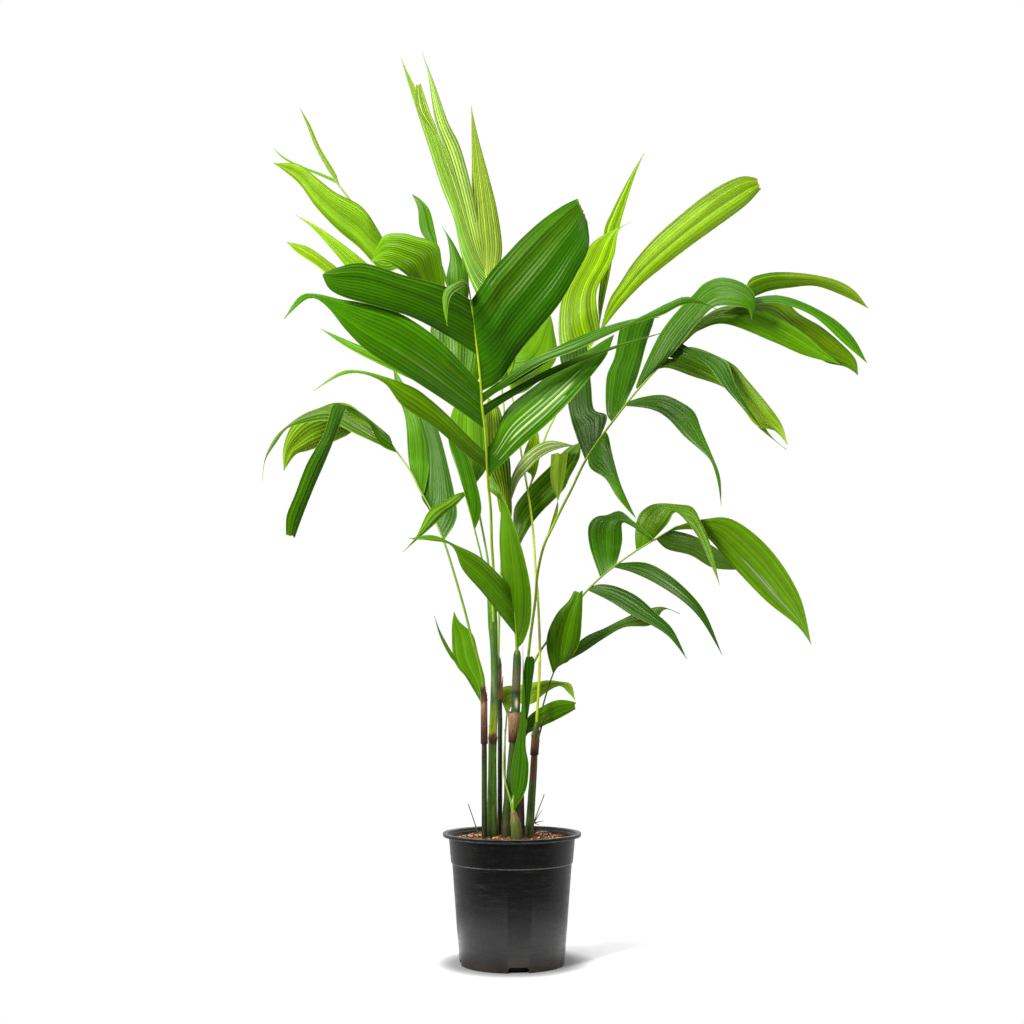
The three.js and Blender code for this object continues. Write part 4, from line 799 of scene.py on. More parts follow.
branch("frond_spear", "-22 464 40 2.4,-24 525 40 2.3,-20 666 48 2.2,-12 728 52 2.2,-2 776 55 2.1,"
    "-5 825 57 2.1,-7 866 60 2.1,-16 980 64 2,-31 1109 66 2,-40 1174 66 1.9,-51 1235 64 1.6",
    leaf("grey>straw", (8.6, 10), 1, 0.1, (82, 84), "-205 1622", "-62 1170,-92 1243,-107 1315,-131 1380,"
         "-154 1454,-175 1520,-193 1579", "-69 1276,-91 1351,-119 1427,-145 1504,-179 1568"),
    leaf("straw", (9.3, 9.8), 1, 0, (68, 64), "-177 1572,-168 1574", "-76 1257,-104 1351,-139 1465,"
         "-175 1521", "-62 1276,-88 1370,-121 1446,-145 1503"),
    leaf("cream", (9.6, 10), 1, 0.1, (52, 46), "-166 1634", "-69 1257,-91 1342,-115 1427,-138 1491,"
         "-147 1534,-155 1592", "-55 1276,-67 1342,-81 1404,-97 1458,-117 1499,-142 1571"),
    leaf("cream", (9.7, 9), 2, -0.2, (62, 60), "-75 1530", "-54 1235,-69 1295,-73 1370,-74 1446",
         "-20 1235,-18 1276,-28 1340,-43 1400,-61 1467"),
    leaf("pale", (5.1, 4.4), 1, 0.2, (40, 46), "113 897", "8 862,32 891,68 907", "9 830,23 848,53 878,"
         "86 893"),
    leaf("fresh", (8, 7.3), 1, 0, (72, 76), "-7 1100", "-36 1021,-32 1068", "-9 1009,7 1063"),
    leaf("light", (4.2, 3.6), 2, 0.1, (46, 40), "-43 984", "-20 775,-30 817,-45 850,-55 908", "-2 839,"
         "-5 881,-13 926,-23 966"))
branch("frond_back", "39 352 4 2.5,43 409 6.4 2.5,47 473 8 2.4,49 536 10 2.3,46 620 16 2.2,"
    "42 671 22 2.1,39 723 30 2.1,34 776 40 2,25 835 54 2,16 888 70 1.9,-2 999 98 1.8,-22 1090 120 1.7,"
    "-58 1137 134 1.5,-94 1161 144 1.3,-114 1179 150 1.1",
    leaf("lime", (11, 9.9), 2, 0.1, (112, 120), "70 1135", "13 1072,42 1112", "32 1002,79 1054,76 1108"),
    leaf("green", (14, 13.6), 1, 0, (160, 165), "-183 1363", "-145 1257,-167 1295,-172 1336",
         "-130 1242,-138 1284,-149 1330,-165 1351"),
    leaf("green", (13.4, 12.9), 1, 0, (140, 140), "-127 1301", "-119 1201,-113 1242,-118 1280",
         "-78 1201,-89 1235,-106 1270"),
    leaf("green", (12.8, 12.6), 1, 0, (128, 128), "-91 1263", "-87 1192,-91 1229", "-78 1192,-83 1231"))
branch("frond_left", "-49 426 -12 2.2,-51 475 -12 2.2,-60 516 -12 2.2,-71.5 557 -12 2.1,"
    "-83.5 604 -11 2.1,-101.5 666 -9 2,-119 721 -5 2,-142 778 0 1.9,-164 818 4 1.8,-180 850 8 1.7,"
    "-204 884 12 1.5,-236 926 2 1.4,-283 964 -18 1.3,-307 973 -26 1",
    leaf("green", (10, 10.6), 1, 0, (-4, -24), "-299 962,-299 973", "-235 899,-255 936,-279 951",
         "-218 914,-250 942,-274 960"),
    leaf("leafy>green", (12.4, 13), 1, 0.3, (-45, -50), "-385 732,-401 735", "-298 962,-311 926,"
         "-332 871,-351 825,-369 778", "-322 969,-336 919,-365 866,-386 809,-400 771"),
    leaf("grey", (10, 10.3), 1, 0, (25, 20), "-445 834", "-287 922,-326 942,-367 939,-401 929,-421 903,"
         "-440 871", "-285 946,-325 969,-370 956,-402 934,-424 912,-441 875"),
    leaf("fresh>light", (10.6, 11.2), 2, 0.2, (45, 50), "-407 852", "-270 929,-298 914,-332 899,"
         "-364 888,-386 881", "-287 969,-317 975,-347 965,-377 952,-398 927,-409 890"),
    leaf("green", (9, 7.7), 1, 0.2, (28, 36), "-214 1041", "-186 881,-192 948,-207 993", "-150 854,"
         "-157 926,-183 990"),
    leaf("deep", (7.6, 6.1), 2, 0.2, (10, 16), "-165 990", "-161 808,-154 890,-168 953", "-101 760,"
         "-100 794,-119 880,-136 935"))
branch("sucker_left", "-48 151 6 2,-48 219 6 2,-49 343 6 1.9,-52 412 5 1.8,-54 452 3 1.5",
    leaf("spring", (4, 3.6), 2, 0.2, (6, 2), "-102 601", "-71 477,-101 513,-106 569", "-47 477,-59 525,"
         "-69 561,-92 583"),
    leaf("green", (3.7, 3.95), 1, 0, (10, 15), "-137 594", "-89 499,-110 524,-127 558", "-86 506,"
         "-105 530,-125 565"))
branch("leaf_arching", "1 151 -22 1.8,0 215 -22 1.8,-1 265 -18 1.8,-14 319 -4 1.7,-12 379 20 1.6,"
    "-9 423 42 1.4",
    leaf("light", (5, 4.8), 2, 0, (52, 58), "110 447", "-19 449,-17 469,14 473,60 481,84 479,104 474",
         "3 440,35 440,57 458,83 471,98 460"))
branch("leaf_low", "14 151 34 1.8,16 215 34 1.8,19 309 34 1.7,23 386 30 1.5",
    leaf("green>spring", (3, 2.9), 2, -0.2, (34, 38), "114 443,112 431", "26 414,52 435,82 447",
         "28 389,51 400,81 414"))
branch("sucker_front", "3 215 -38 2.4,2 254 -38 2.4,3 283 -38 1.6",
    leaf("leafy", (1.4, 0.9), 2, 0.1, (-31, -24), "19 541", "-1 290,-2 324,5 366,14 410,18 464", "9 266,"
         "25 294,29 334,24 366,24 410,22 464"))
branch("frond_right", "12.5 338 10.5 2.8,13 364 10 2.8,21 390 11 2.8,25 417 14 2.8,30 464 13 2.7,"
    "29 525 10 2.6,41 620 4 2.5,45 666 0 2.4,56 716 -4 2.4,74 755 -8 2.3,91 790 -12 2.3,106 819 -15 2.2,"
    "127 863 -18 2.2,148 897 -21 2.1,174 933 -24 2,201 968 -26 1.9,226 999 -28 1.8,257 1033 -30 1.7,"
    "285 1063 -32 1.6,321 1100 -34 1.5,367 1133 -36 1.3,421 1159 -38 1.1",
    leaf("shade", (2.6, 2.4), 1, 0.2, (8, 0), "25 523,35 525", "21 447,21 504", "29 426,35 473,40 513"),
    leaf("light", (8, 8.2), 1, 0, (4, 14), "70 884,100 886", "82 783,69 835", "78 788,91 827"),
    leaf("shade", (12.2, 13.3), 2, 0.2, (-5, 10), "106 1094,130 1098", "113 919,101 966,97 1017,86 1062",
         "170 951,147 964,142 1008,137 1068"),
    leaf("leafy", (14.2, 15), 2, -0.1, (-10, 0), "218 1124,260 1133", "169 959,170 1021,185 1061,"
         "197 1118", "206 980,226 1024,243 1085"),
    leaf("leafy>green", (16, 17.2), 2, 0.3, (-42, -62), "433 1129", "222 1003,234 1035,265 1100,"
         "298 1144,327 1174,347 1195,377 1207,410 1201,433 1185,441 1162", "293 1070,332 1118,365 1152,"
         "403 1153,427 1148"),
    leaf("spring", (18.2, 17.4), 2, 0.2, (-28, -38), "590 1046", "318 1109,348 1135,385 1153,441 1149,"
         "511 1114,562 1070", "312 1087,339 1109,388 1120,472 1087,528 1062"),
    leaf("spring>light", (21, 20.6), 2, -0.2, (-30, -20), "644 1149", "429 1200,461 1214,501 1216,"
         "549 1211,591 1200,621 1181", "457 1178,505 1187,549 1190,595 1174",
         [("light", 0.2, 0.3, 0.35, 1.2)]),
    leaf("deep>green", (20.9, 20.7), 1, 0.2, (-52, -62), "639 1048", "445 1170,485 1173,530 1159,"
         "583 1129,617 1094", "458 1159,492 1157,547 1133,599 1084"),
    leaf("fresh", (20.5, 20.2), 2, 0, (-14, -14), "622 1026", "443 1164,484 1173,518 1140,560 1114,"
         "597 1081,619 1054", "434 1131,480 1109,524 1081,562 1051,600 1041",
         [("sunlit", 0.35, 0.16, 0.25, 0.95)]),
    leaf("green>light", (18.4, 17.9), 2, -0.3, (-55, -75), "492 900", "312 1078,339 1074,394 1048,"
         "421 1019,478 945", "312 1046,366 1018,411 967,437 934,470 924",
         [("light", 0.6, 0.3, 0.55, 1.3)]),
    leaf("grey", (17.8, 17.1), 1, 0.2, (-42, -64), "491 890", "313 1052,367 1024,416 976,446 940,467 911",
         "281 1039,319 1026,391 997,436 936"),
    leaf("deep", (18.6, 18.4), 1, 0.1, (-72, -88), "447 929", "323 1075,383 1054,404 1002", "303 1075,"
         "349 1046,386 998"),
    leaf("leafy>green", (15.3, 15.05), 2, 0.2, (-60, -90), "372 789", "235 986,271 990,300 979,327 959,"
         "340 924,356 884,371 840", "248 964,278 948,308 915,335 891,355 869,366 833"),
    leaf("leafy>green", (13.6, 12.4), 1, 0.3, (-50, -62), "220 767", "171 919,182 871,196 823",
         "139 858,166 839,186 807,206 782"))
branch("frond_lower_right", "14.5 338 19 2.2,14 364 19.5 2.2,21 386 26 2.2,28 438 30 2.2,33 490 31 2.1,"
    "39 513 31 2.1,58 544 28 2,93 587 20 1.9,127 632 12 1.8,156 661 6 1.7,182 682 0 1.6,220 709 -5 1.5,"
    "255 730 -8 1.4,293 753 -10 1.2",
    leaf("leafy", (9, 10), 2, 0.2, (0, -30), "255 726", "138 714,135 751,148 769,169 773,192 780,"
         "215 762,236 746", "186 689,195 725,195 757,206 756,229 742"),
    leaf("fresh", (11, 11.6), 2, 0.2, (-20, -50), "367 648", "218 737,224 771,243 789,265 794,295 792,"
         "321 787,336 760,353 716", "254 733,276 757,290 778,309 762,332 730,348 693"),
    # the gloss and pale stripes on this leaflet are a painted highlight
    leaf("fresh", (13, 12.6), 3, -0.2, (-15, -45), "526 544", "339 765,393 764,457 712,507 631",
         "334 742,392 679,448 620,501 577", [("paintedGloss", 0.6, 0.012, 0.42, 0.84),
         ("paintedGloss", 0.66, 0.018, 0.4, 0.9), ("pale", 0.73, 0.014, 0.44, 0.84),
         ("light", 0.3, 0.01, 0.08, 0.92), ("light", 0.18, 0.01, 0.08, 0.92)]),
    leaf("grey", (12.7, 12), 1, 0.2, (4, 8), "403 675", "325 735,372 707", "275 712,317 701,356 679"),
    leaf("shade", (10.2, 9.9), 1, 0.2, (-45, -75), "369 525", "237 688,279 666,321 627,345 590",
         "214 670,254 651,301 620,335 584"),
    leaf("shade", (8.4, 8.2), 2, 0.2, (-20, -50), "307 518", "157 650,187 645,222 628,254 599,283 570",
         "174 619,211 595,243 579,276 557"))
branch("frond_small_right", "36 151 50 1.6,36 215 50 1.6,42 326 50 1.6,45 386 48 1.5,54 436 46 1.4,"
    "72 492 38 1.3,86 513 34 1.1",
    leaf("spring", (5, 6), 2, 0.2, (6, -6), "109 638,125 639", "61 534,63 565,79 598,100 621", "99 514,"
         "118 546,123 590"),
    leaf("grey", (5.8, 5.6), 1, 0.1, (40, 50), "296 597", "123 553,164 573,198 590,227 602,263 610",
         "122 528,163 555,199 574,245 578,269 605"))
branch("frond_bright", "9 369 56 2.4,9 421 56 2.4,9 516 58 2.3,4 622 64 2.3,7 746 76 2.2,21 792 84 2.1,"
    "37 839 90 2.1,59 911 98 2,79 955 104 1.9,119 1039 112 1.8,159 1107 118 1.6",
    leaf("sunlit", (10, 9.8), 2, 0.1, (130, 150), "448 1394,455 1372", "175 1162,195 1195,220 1234,"
         "257 1278,299 1317,346 1356,387 1383,422 1397", "193 1148,236 1194,277 1228,324 1265,373 1301,"
         "426 1341", [("light", 0.3, 0.2, 0.1, 0.8)]),
    leaf("sunlit", (10, 9.9), 1, 0.1, (140, 160), "242 1440", "156 1164,165 1235,167 1293,181 1328,"
         "200 1367,221 1406", "165 1155,176 1206,186 1260,200 1316,214 1364,227 1403"),
    leaf("sunlit", (8.9, 10), 2, 0.1, (112, 118), "217 1310", "86 1081,89 1164,116 1220,149 1274",
         "157 1126,154 1183,184 1243,194 1293"),
    leaf("spring", (3.9, 3.6), 2, 0.1, (66, 56), "123 904", "2 764,7 792,37 830,68 861,96 891", "30 749,"
         "52 778,91 817,102 839,120 875"),
    leaf("sunlit", (6.3, 5.7), 2, 0, (80, 78), "45 935", "21 854,23 890", "45 854,50 893"))


def quads(a, b, c, d):
    return np.stack([a, b, c, d], -1).reshape(-1, 4)


def bladePart(stalk, leaf, look, chance):
    roots = stalkPath(stalk, np.array(leaf["at"]) / (len(stalk) - 1))[0]
    (flatA, depthA), (flatB, depthB) = map(seen, roots)
    edges = [flatA, *leaf["a"], leaf["tip"][0]], [flatB, *leaf["b"], leaf["tip"][-1]]
    middle, end = leaf["depth"]

    def edgesAt(t):
        flats = [evenlyAt(edge, t) for edge in edges]
        tilt = 0.5 * leaf["lean"] * norm(flats[0] - flats[1])[:, 0]
        tilt = tilt * np.minimum(1, t / look["rootFade"])
        bent = [s * (1 - t) * (1 - 2 * t) + middle * 4 * t * (1 - t) + end * t * (2 * t - 1)
                for s in (depthA, depthB)]
        return sight(flats[0], bent[0] + tilt), sight(flats[1], bent[1] - tilt)

    def middleAt(t):
        return sum(edgesAt(np.clip(t, 0, 1))) / 2

    length = norm(np.diff(middleAt(np.linspace(0, 1, look["samples"])), axis=0)).sum()
    rows = int(np.clip(length / look["rowStep"], *look["rows"]))
    t = np.linspace(0, 1, rows + 1)
    sideA, sideB = edgesAt(t)
    width = norm(sideB - sideA)[:, 0]
    folds = int(np.clip(round(width.max() / look["foldWidth"]), *look["folds"]))
    across = (sideB - sideA) / np.maximum(width, 1e-6)[:, None]
    for row in range(1, rows + 1):
        if width[row] <= look["narrow"]:
            across[row] = across[row - 1]
    along = middleAt(t + look["sideStep"]) - middleAt(t - look["sideStep"])
    out = np.cross(across, along)
    out = out / norm(out)
    half = np.maximum(width / 2, look["tipHalf"])
    s = np.linspace(0, 1, 4 * folds + 1)
    foldAt = np.minimum((s * folds).astype(int), folds - 1)
    strips = 2 * leaf["ribs"]
    fade = np.minimum(1, t / look["rootFade"])[:, None]
    lift = 4 * look["bow"] * s * (1 - s) - 0.5 * np.cos(np.pi * s * strips) * look["pleat"] / strips
    ridges = np.abs(np.sin(np.pi * folds * s)) * look["ridge"] / folds
    lift = lift[None, :] * fade - (look["rootRidge"] + (1 - look["rootRidge"]) * fade) * ridges
    points = ((sideA + sideB) / 2)[:, None] + across[:, None] * (half[:, None] * (2 * s - 1))[..., None]
    points = points + out[:, None] * (lift * 2 * half[:, None])[..., None]
    if len(leaf["tip"]) > 1:
        teeth = look["toothLength"] * chance.random(folds + 1)[foldAt]
        teeth = teeth * np.clip((t[:, None] - look["teethFrom"]) / (1 - look["teethFrom"]), 0, 1)
        points = points - (along / norm(along))[:, None] * teeth[..., None]
    thick = out[:, None] * (look["thickness"] / 2)
    top, under = (points + thick).reshape(-1, 3), (points - thick).reshape(-1, 3)

    columns = len(s)
    g = np.arange(len(top)).reshape(rows + 1, columns)
    h = g + len(top)
    surface = np.concatenate([quads(g[:-1, :-1], g[:-1, 1:], g[1:, 1:], g[1:, :-1]),
                              quads(h[:-1, :-1], h[1:, :-1], h[1:, 1:], h[:-1, 1:])])
    rim = np.concatenate([quads(g[:-1, 0], g[1:, 0], h[1:, 0], h[:-1, 0]),
                          quads(g[:-1, -1], h[:-1, -1], h[1:, -1], g[1:, -1]),
                          quads(g[0, :-1], h[0, :-1], h[0, 1:], g[0, 1:]),
                          quads(g[-1, :-1], g[-1, 1:], h[-1, 1:], h[-1, :-1])])

    ends = [np.array(tones[tone], float) for tone in (leaf["tone"].split(">") * 2)[:2]]
    shift = chance.normal(0, look["toneSpread"], 3)[[1, 1, 2]]
    shift = 1 + shift * look["toneParts"] + chance.normal(0, look["leafTone"])
    foldToneAndPaintedShade = 1 + chance.normal(0, look["foldTone"], folds + 1)[foldAt]
    # painted shade: the two sides of each fold are painted lighter and darker
    foldToneAndPaintedShade = foldToneAndPaintedShade * (1 + look["paintedFoldShade"] * np.clip(4 * np.sin(2 * np.pi * folds * s), -1, 1))
    colour = ends[0] + (ends[1] - ends[0]) * np.tile(t[:, None, None], (1, columns, 1))
    # painted light: lit patches and gloss stripes blended in over the leaflet's colour
    for tone, middleAcross, halfWide, start, stop in leaf["lit"]:
        swell = np.sin(np.pi * np.clip((t - start) / (stop - start), 0, 1)) ** 0.7
        off = np.abs(s[None, :] - middleAcross) / (halfWide * swell[:, None] + 1e-4)
        here = np.clip((1 - off) / look["litEdge"] + 0.5, 0, 1)[..., None]
        colour = colour + (np.array(tones[tone], float) - colour) * here
    colour = (np.clip(colour * shift * foldToneAndPaintedShade[None, :, None], 0, 250) / 255) ** gamma
    colour = np.concatenate([colour, np.ones((rows + 1, columns, 1))], axis=-1)
    room = np.clip(2 * half / folds / look["foldWidth"], 0, 1) ** 1.5
    uv = [np.tile(s * folds, rows + 1) + chance.integers(0, 90) * 1.0,
          np.repeat(t, columns) * length / 40 + chance.integers(0, 90)]
    marks = {
        "leafColour": np.tile(colour.reshape(-1, 4), (2, 1)),
        "along": np.tile(np.repeat(t, columns), 2),
        "margin": np.tile(np.minimum(s, 1 - s) * folds, 2 * (rows + 1)),
        "room": np.tile(np.repeat(room, columns), 2),
        "blade": np.tile(np.stack(uv, -1), (2, 1)),
    }
    return np.concatenate([top, under]), surface, rim, marks


def bladeObject(name, parts, skin):
    counts = np.cumsum([0] + [len(part[0]) for part in parts])
    points = np.concatenate([part[0] for part in parts])
    surface, rim = (np.concatenate([part[k] + start for part, start in zip(parts, counts)])
                    for k in (1, 2))
    faces = np.concatenate([surface, rim])
    piece = meshObject(name, points, faces.tolist(), skin)
    mesh = piece.data
    mesh.polygons.foreach_set("use_smooth", np.arange(len(faces)) < len(surface))
    marks = {key: np.concatenate([part[3][key] for part in parts]).astype(np.float32)
             for key in parts[0][3]}
    for key, kind, field in (("leafColour", "FLOAT_COLOR", "color"), ("along", "FLOAT", "value"),
                             ("margin", "FLOAT", "value"), ("room", "FLOAT", "value")):
        mesh.attributes.new(key, kind, "POINT").data.foreach_set(field, marks[key].ravel())
    corners = np.empty(len(mesh.loops), int)
    mesh.loops.foreach_get("vertex_index", corners)
    mesh.uv_layers.new(name="blade").uv.foreach_set("vector", marks["blade"][corners].ravel())
    mesh.update()
    return piece


leafSurface = leafSkin()
for index, (node, frond) in enumerate(fronds.items()):
    chance = np.random.default_rng(blades["seed"] + index)
    stalk = frond["stalk"]
    look = {**blades, **ownBlades.get(node, {})}
    parts = [bladePart(stalk, entry, look, chance) for entry in frond["leaves"]]
    piece = bladeObject(node + "_fine", parts, leafSurface)
    share = np.linspace(0, 1, stalkLook["samples"] * (len(stalk) - 1) + 1)
    path = stalkPath(stalk, share)[0]
    lower, upper = stalkColours.get(node, stalkLook["colours"])
    foot, head = sorted((path[0][2], path[-1][2]))
    skin = caneSkin(node + "Stalk", [(foot, *lower), (head + 1, *upper)], *stalkLook["skin"])
    joined(piece, tubes(node + "_stalk", [(path, easedRadii(stalk, share))], skin,
                        stalkLook["sides"], stalkLook["step"]))
    replace(piece, node)
print("fronds:", len(fronds))

pot = {
    "rim": 120, "height": 219.8, "band": 109.3, "step": 105.2, "stepHeight": 170, "inset": 2,
    "base": 90, "wall": 2, "floor": 3, "skirt": 6, "rimTop": 6, "round": 1.6,
    "notches": 4, "notchWidth": 35, "notchHeight": 9.5, "notchDepth": 24, "notchTurn": 7,
    "notchCorner": 3, "notchPast": 8, "segments": 160, "smooth": 35,
    "colours": ((14, 14, 14), (24, 23, 22)),
    "scuffs": (84, 78, 72), "drips": (70, 64, 58), "dust": (98, 84, 68),
    "wearAndHighlight": (150, 145, 138),
    # lines of wear and painted highlight at the step and on the rim: height and reach in metres, and
    # share
    "wearAndHighlightLines": [(0.1695, 0.0011, 0.55), (0.2192, 0.0012, 0.35), (0.2145, 0.0010, 0.25)],
}


def lathed(name, profile, segments, skin):  # a profile of (radius, height), closed on the axis
    profile = np.asarray(profile, float)
    angle = np.linspace(0, fullTurn, segments, endpoint=False)
    ringed = profile[1:-1]
    points = [(0, 0, profile[0][1]), (0, 0, profile[-1][1])]
    for radius, height in ringed:
        points += [(radius * math.cos(a), radius * math.sin(a), height) for a in angle]
    at = lambda ring, k: 2 + ring * segments + k % segments
    faces = []
    for k in range(segments):
        faces.append((0, at(0, k + 1), at(0, k)))
        faces.append((1, at(len(ringed) - 1, k), at(len(ringed) - 1, k + 1)))
        for ring in range(len(ringed) - 1):
            faces.append((at(ring, k), at(ring, k + 1), at(ring + 1, k + 1), at(ring + 1, k)))
    return meshObject(name, points, faces, skin)


def rounded(corners, radius, steps=3):  # cuts each corner of a profile with a short arc
    corners = np.asarray(corners, float)
    result = [corners[0]]
    for before, corner, after in zip(corners, corners[1:], corners[2:]):
        into, away = before - corner, after - corner
        reach = min(radius, 0.45 * np.linalg.norm(into), 0.45 * np.linalg.norm(away))
        start = corner + into / np.linalg.norm(into) * reach
        end = corner + away / np.linalg.norm(away) * reach
        for w in np.arange(steps + 1) / steps:
            result.append(start * (1 - w) ** 2 + corner * 2 * w * (1 - w) + end * w * w)
    return [*result, corners[-1]]


def potSkin():
    skin = Skin("potPlastic", specular=0.4)
    wide = skin.noise(9, 3, 4.0, 0.6)
    scuffs = skin.noise(26, 150, 5.0, 0.72)
    drips = skin.noise(120, 5, 3.0, 0.6)
    skin.colour = skin.mix(skin.ranged(wide, 0.35, 0.7), *pot["colours"])
    skin.cover(skin.ranged(scuffs, 0.6, 0.78, 0.0, 0.2), pot["scuffs"])
    skin.cover(skin.ranged(drips, 0.6, 0.8, 0.0, 0.14), pot["drips"])
    height = skin.height()
    dust = skin.times(skin.ranged(height, 0.0, 0.035, 0.18, 0.0), skin.ranged(wide, 0.3, 0.6))
    skin.cover(dust, pot["dust"])
    # painted highlight: light lines along the step and rim edges, broken up by the scuffs like wear
    for level, reach, share in pot["wearAndHighlightLines"]:
        off = skin.math("ABSOLUTE", skin.math("SUBTRACT", height, level))
        line = skin.times(skin.ranged(off, 0.0, reach, share, 0.0), skin.ranged(scuffs, 0.35, 0.6))
        skin.cover(line, pot["wearAndHighlight"])
    skin.set("Roughness", skin.ranged(scuffs, 0.4, 0.7, 0.17, 0.38, False))
    return skin.done(skin.noise(900, 900), 0.0002, 0.3)


def potProfile():
    p, wall = pot, pot["wall"]
    stepFoot = p["step"] - p["inset"]
    skirtFoot = p["height"] - p["skirt"]
    return rounded([
        (0, 0), (p["base"], 0), (stepFoot, p["stepHeight"] - 1), (p["step"], p["stepHeight"]),
        (p["band"], skirtFoot - 1.4), (p["rim"] - 0.6, skirtFoot), (p["rim"], p["height"]),
        (p["rim"] - p["rimTop"] - 1.2, p["height"]), (p["band"] - wall, skirtFoot - 2),
        (p["step"] - wall, p["stepHeight"] + 1), (stepFoot - wall, p["stepHeight"] - 2),
        (p["base"] - wall, p["floor"]), (0, p["floor"])], p["round"])


def notchCutter(number):
    turn = math.radians(pot["notchTurn"] - 90 + 360 / pot["notches"] * number)
    wide, high, cut = pot["notchWidth"] / 2, pot["notchHeight"], pot["notchCorner"]
    side = [(-wide, -high), (wide, -high), (wide, high - cut), (wide - cut, high),
            (cut - wide, high), (-wide, high - cut)]
    points = [(r * math.cos(turn) - y * math.sin(turn), r * math.sin(turn) + y * math.cos(turn), z)
              for r in (pot["base"] - pot["notchDepth"], pot["base"] + pot["notchPast"]) for y, z in side]
    count = len(side)
    faces = [tuple(range(count))[::-1], tuple(range(count, 2 * count))]
    faces += [(k, (k + 1) % count, count + (k + 1) % count, count + k) for k in range(count)]
    return meshObject("notch%d" % number, points, faces)


potPiece = lathed("pot_fine", potProfile(), pot["segments"], potSkin())
cutter = joined(*(notchCutter(number) for number in range(pot["notches"])))
carve = potPiece.modifiers.new("notches", "BOOLEAN")
carve.operation, carve.solver, carve.object = "DIFFERENCE", "EXACT", cutter
potPiece = baked(potPiece)
bpy.data.objects.remove(cutter)
smoothed(potPiece, pot["smooth"])
replace(potPiece, "pot")
print("pot done")

soil = {
    "top": 209, "mound": 3, "radius": 106.4, "segments": 96, "uneven": 0.5, "seed": 5,
    "foot": [(0, 3.3), (84.7, 3.3), (87.7, 6.3), (100.9, 168.3), (102.9, 171.3)],
    # how many bits, how far out, seed, smallest share, and the sizes of the shapes
    "chips": (1300, 101, 3, 0.35, [(8, 4.2, 1.9), (6.5, 3.6, 1.6), (5, 3.2, 2.0), (9, 3, 1.5),
                                   (3.4, 2.6, 1.7), (2.4, 1.8, 1.2)]),
    "perliteGrains": (150, 100, 9, 0.5, [(2.4, 2.0, 1.7), (1.6, 1.5, 1.2)]),
    "perlite": (226, 220, 206),
    "jitter": (0.7, 1.15), "tilt": 0.7,
    "fibres": 110, "fibreRadius": 0.35, "fibreLift": 3.2, "fibreReach": (98, 104),
    "fibreSteps": 7, "fibreStep": 2.6, "fibreTurn": 0.4, "fibreRise": (0.05, 0.25),
}


def soilSkin():
    skin = Skin("soilMix", 0.95, 0.15)
    fine = skin.noise(420, 420, 4.0, 0.7)
    skin.ramp(fine, [(0.35, (38, 24, 16)), (0.52, (88, 56, 38)), (0.7, (128, 88, 60))])
    # painted shade: the soil turns near-black low in the pot, where it shows through the notches
    low = skin.ranged(skin.height(), 0.02, 0.05)
    skin.colour = skin.mix(low, (0.004, 0.004, 0.004, 1), skin.colour)
    return skin.done(fine, 0.002, 0.9)


def chipSkin():
    skin = Skin("barkChips", 0.85, 0.25)
    grain = skin.noise(300, 900, 3.0, 0.65)
    skin.ramp(skin.attribute("tone"), [(0.0, (34, 18, 10)), (0.3, (88, 46, 25)), (0.62, (130, 74, 42)),
                                       (0.86, (160, 108, 68)), (0.95, (212, 182, 144))])
    skin.shade(skin.ranged(grain, 0.35, 0.7, 0.0, 0.5), 0.4, 0.38, 0.36)
    return skin.done(grain, 0.0008, 0.8)


def bitShape(name, size, chance):  # one rough chip, crumb or grain
    mesh = bpy.data.meshes.new(name)
    shape = bmesh.new()
    bmesh.ops.create_icosphere(shape, subdivisions=1, radius=1.0)
    for vert in shape.verts:
        vert.co = [c * s * mm * chance.uniform(*soil["jitter"]) for c, s in zip(vert.co, size)]
    shape.to_mesh(mesh)
    shape.free()
    return bpy.data.objects.new(name, mesh)


def scatterForm():  # bits laid at random on the upward faces of a surface
    form = Form("scatterBits", Bits="Collection", Density="Float", Reach="Float", Seed="Int",
                Smallest="Float", Material="Material")
    given = form.given
    seeded = {"Seed": given["Seed"]}
    inside = form.make("FunctionNodeCompare", {0: form.length(form.placeTimes((1, 1, 0))),
                                               1: given["Reach"]}, operation="LESS_THAN")[0]
    spots = form.geo("DistributePointsOnFaces", {"Mesh": given["Geometry"],
                                                 "Density": given["Density"], **seeded})
    keep = form.geo("SeparateGeometry", {0: spots, 1: inside}, domain="POINT")
    lean = soil["tilt"]
    tilt = form.make("FunctionNodeRandomValue", {0: (-lean, -lean, 0.0), 1: (lean, lean, 6.283),
                                                 **seeded}, data_type="FLOAT_VECTOR")[0]
    size = form.make("FunctionNodeRandomValue", {2: given["Smallest"], 3: 1.0, **seeded})[1]
    bits = form.geo("CollectionInfo", {"Collection": given["Bits"], "Separate Children": True,
                                       "Reset Children": True})
    laid = form.geo("InstanceOnPoints", {"Points": keep, "Instance": bits, "Pick Instance": True,
                                         "Rotation": tilt, "Scale": size})
    tone = form.make("FunctionNodeRandomValue", {2: 0.0, 3: 1.0, "Seed": 77})[1]
    return form.done(form.geo("StoreNamedAttribute", {"Geometry": laid, "Name": "tone",
                                                      "Value": tone}, domain="INSTANCE"))


chance = np.random.default_rng(soil["seed"])
soilSurface, chipSurface = soilSkin(), chipSkin()
perliteSurface = Skin("perlite", 0.9, colour=paint(*soil["perlite"])).done()
peak = soil["top"] + soil["mound"] - 1
mound = [(soil["radius"] * share, soil["top"] + soil["mound"] * (1 - share * share) - 1.0)
         for share in np.linspace(0.96, 0.04, 24)]
bed = lathed("soil_fine", [*soil["foot"], (soil["radius"], soil["top"]), *mound, (0, peak)],
             soil["segments"], soilSurface)
for vert in bed.data.vertices:
    if vert.co.z > (soil["top"] - 0.5) * mm:
        vert.co.z += chance.normal(0, soil["uneven"]) * mm
bed.data.shade_smooth()
surface = lathed("bedTop", [(0, soil["top"] - 1), *mound, (0, peak)], soil["segments"], soilSurface)
scatter = scatterForm()


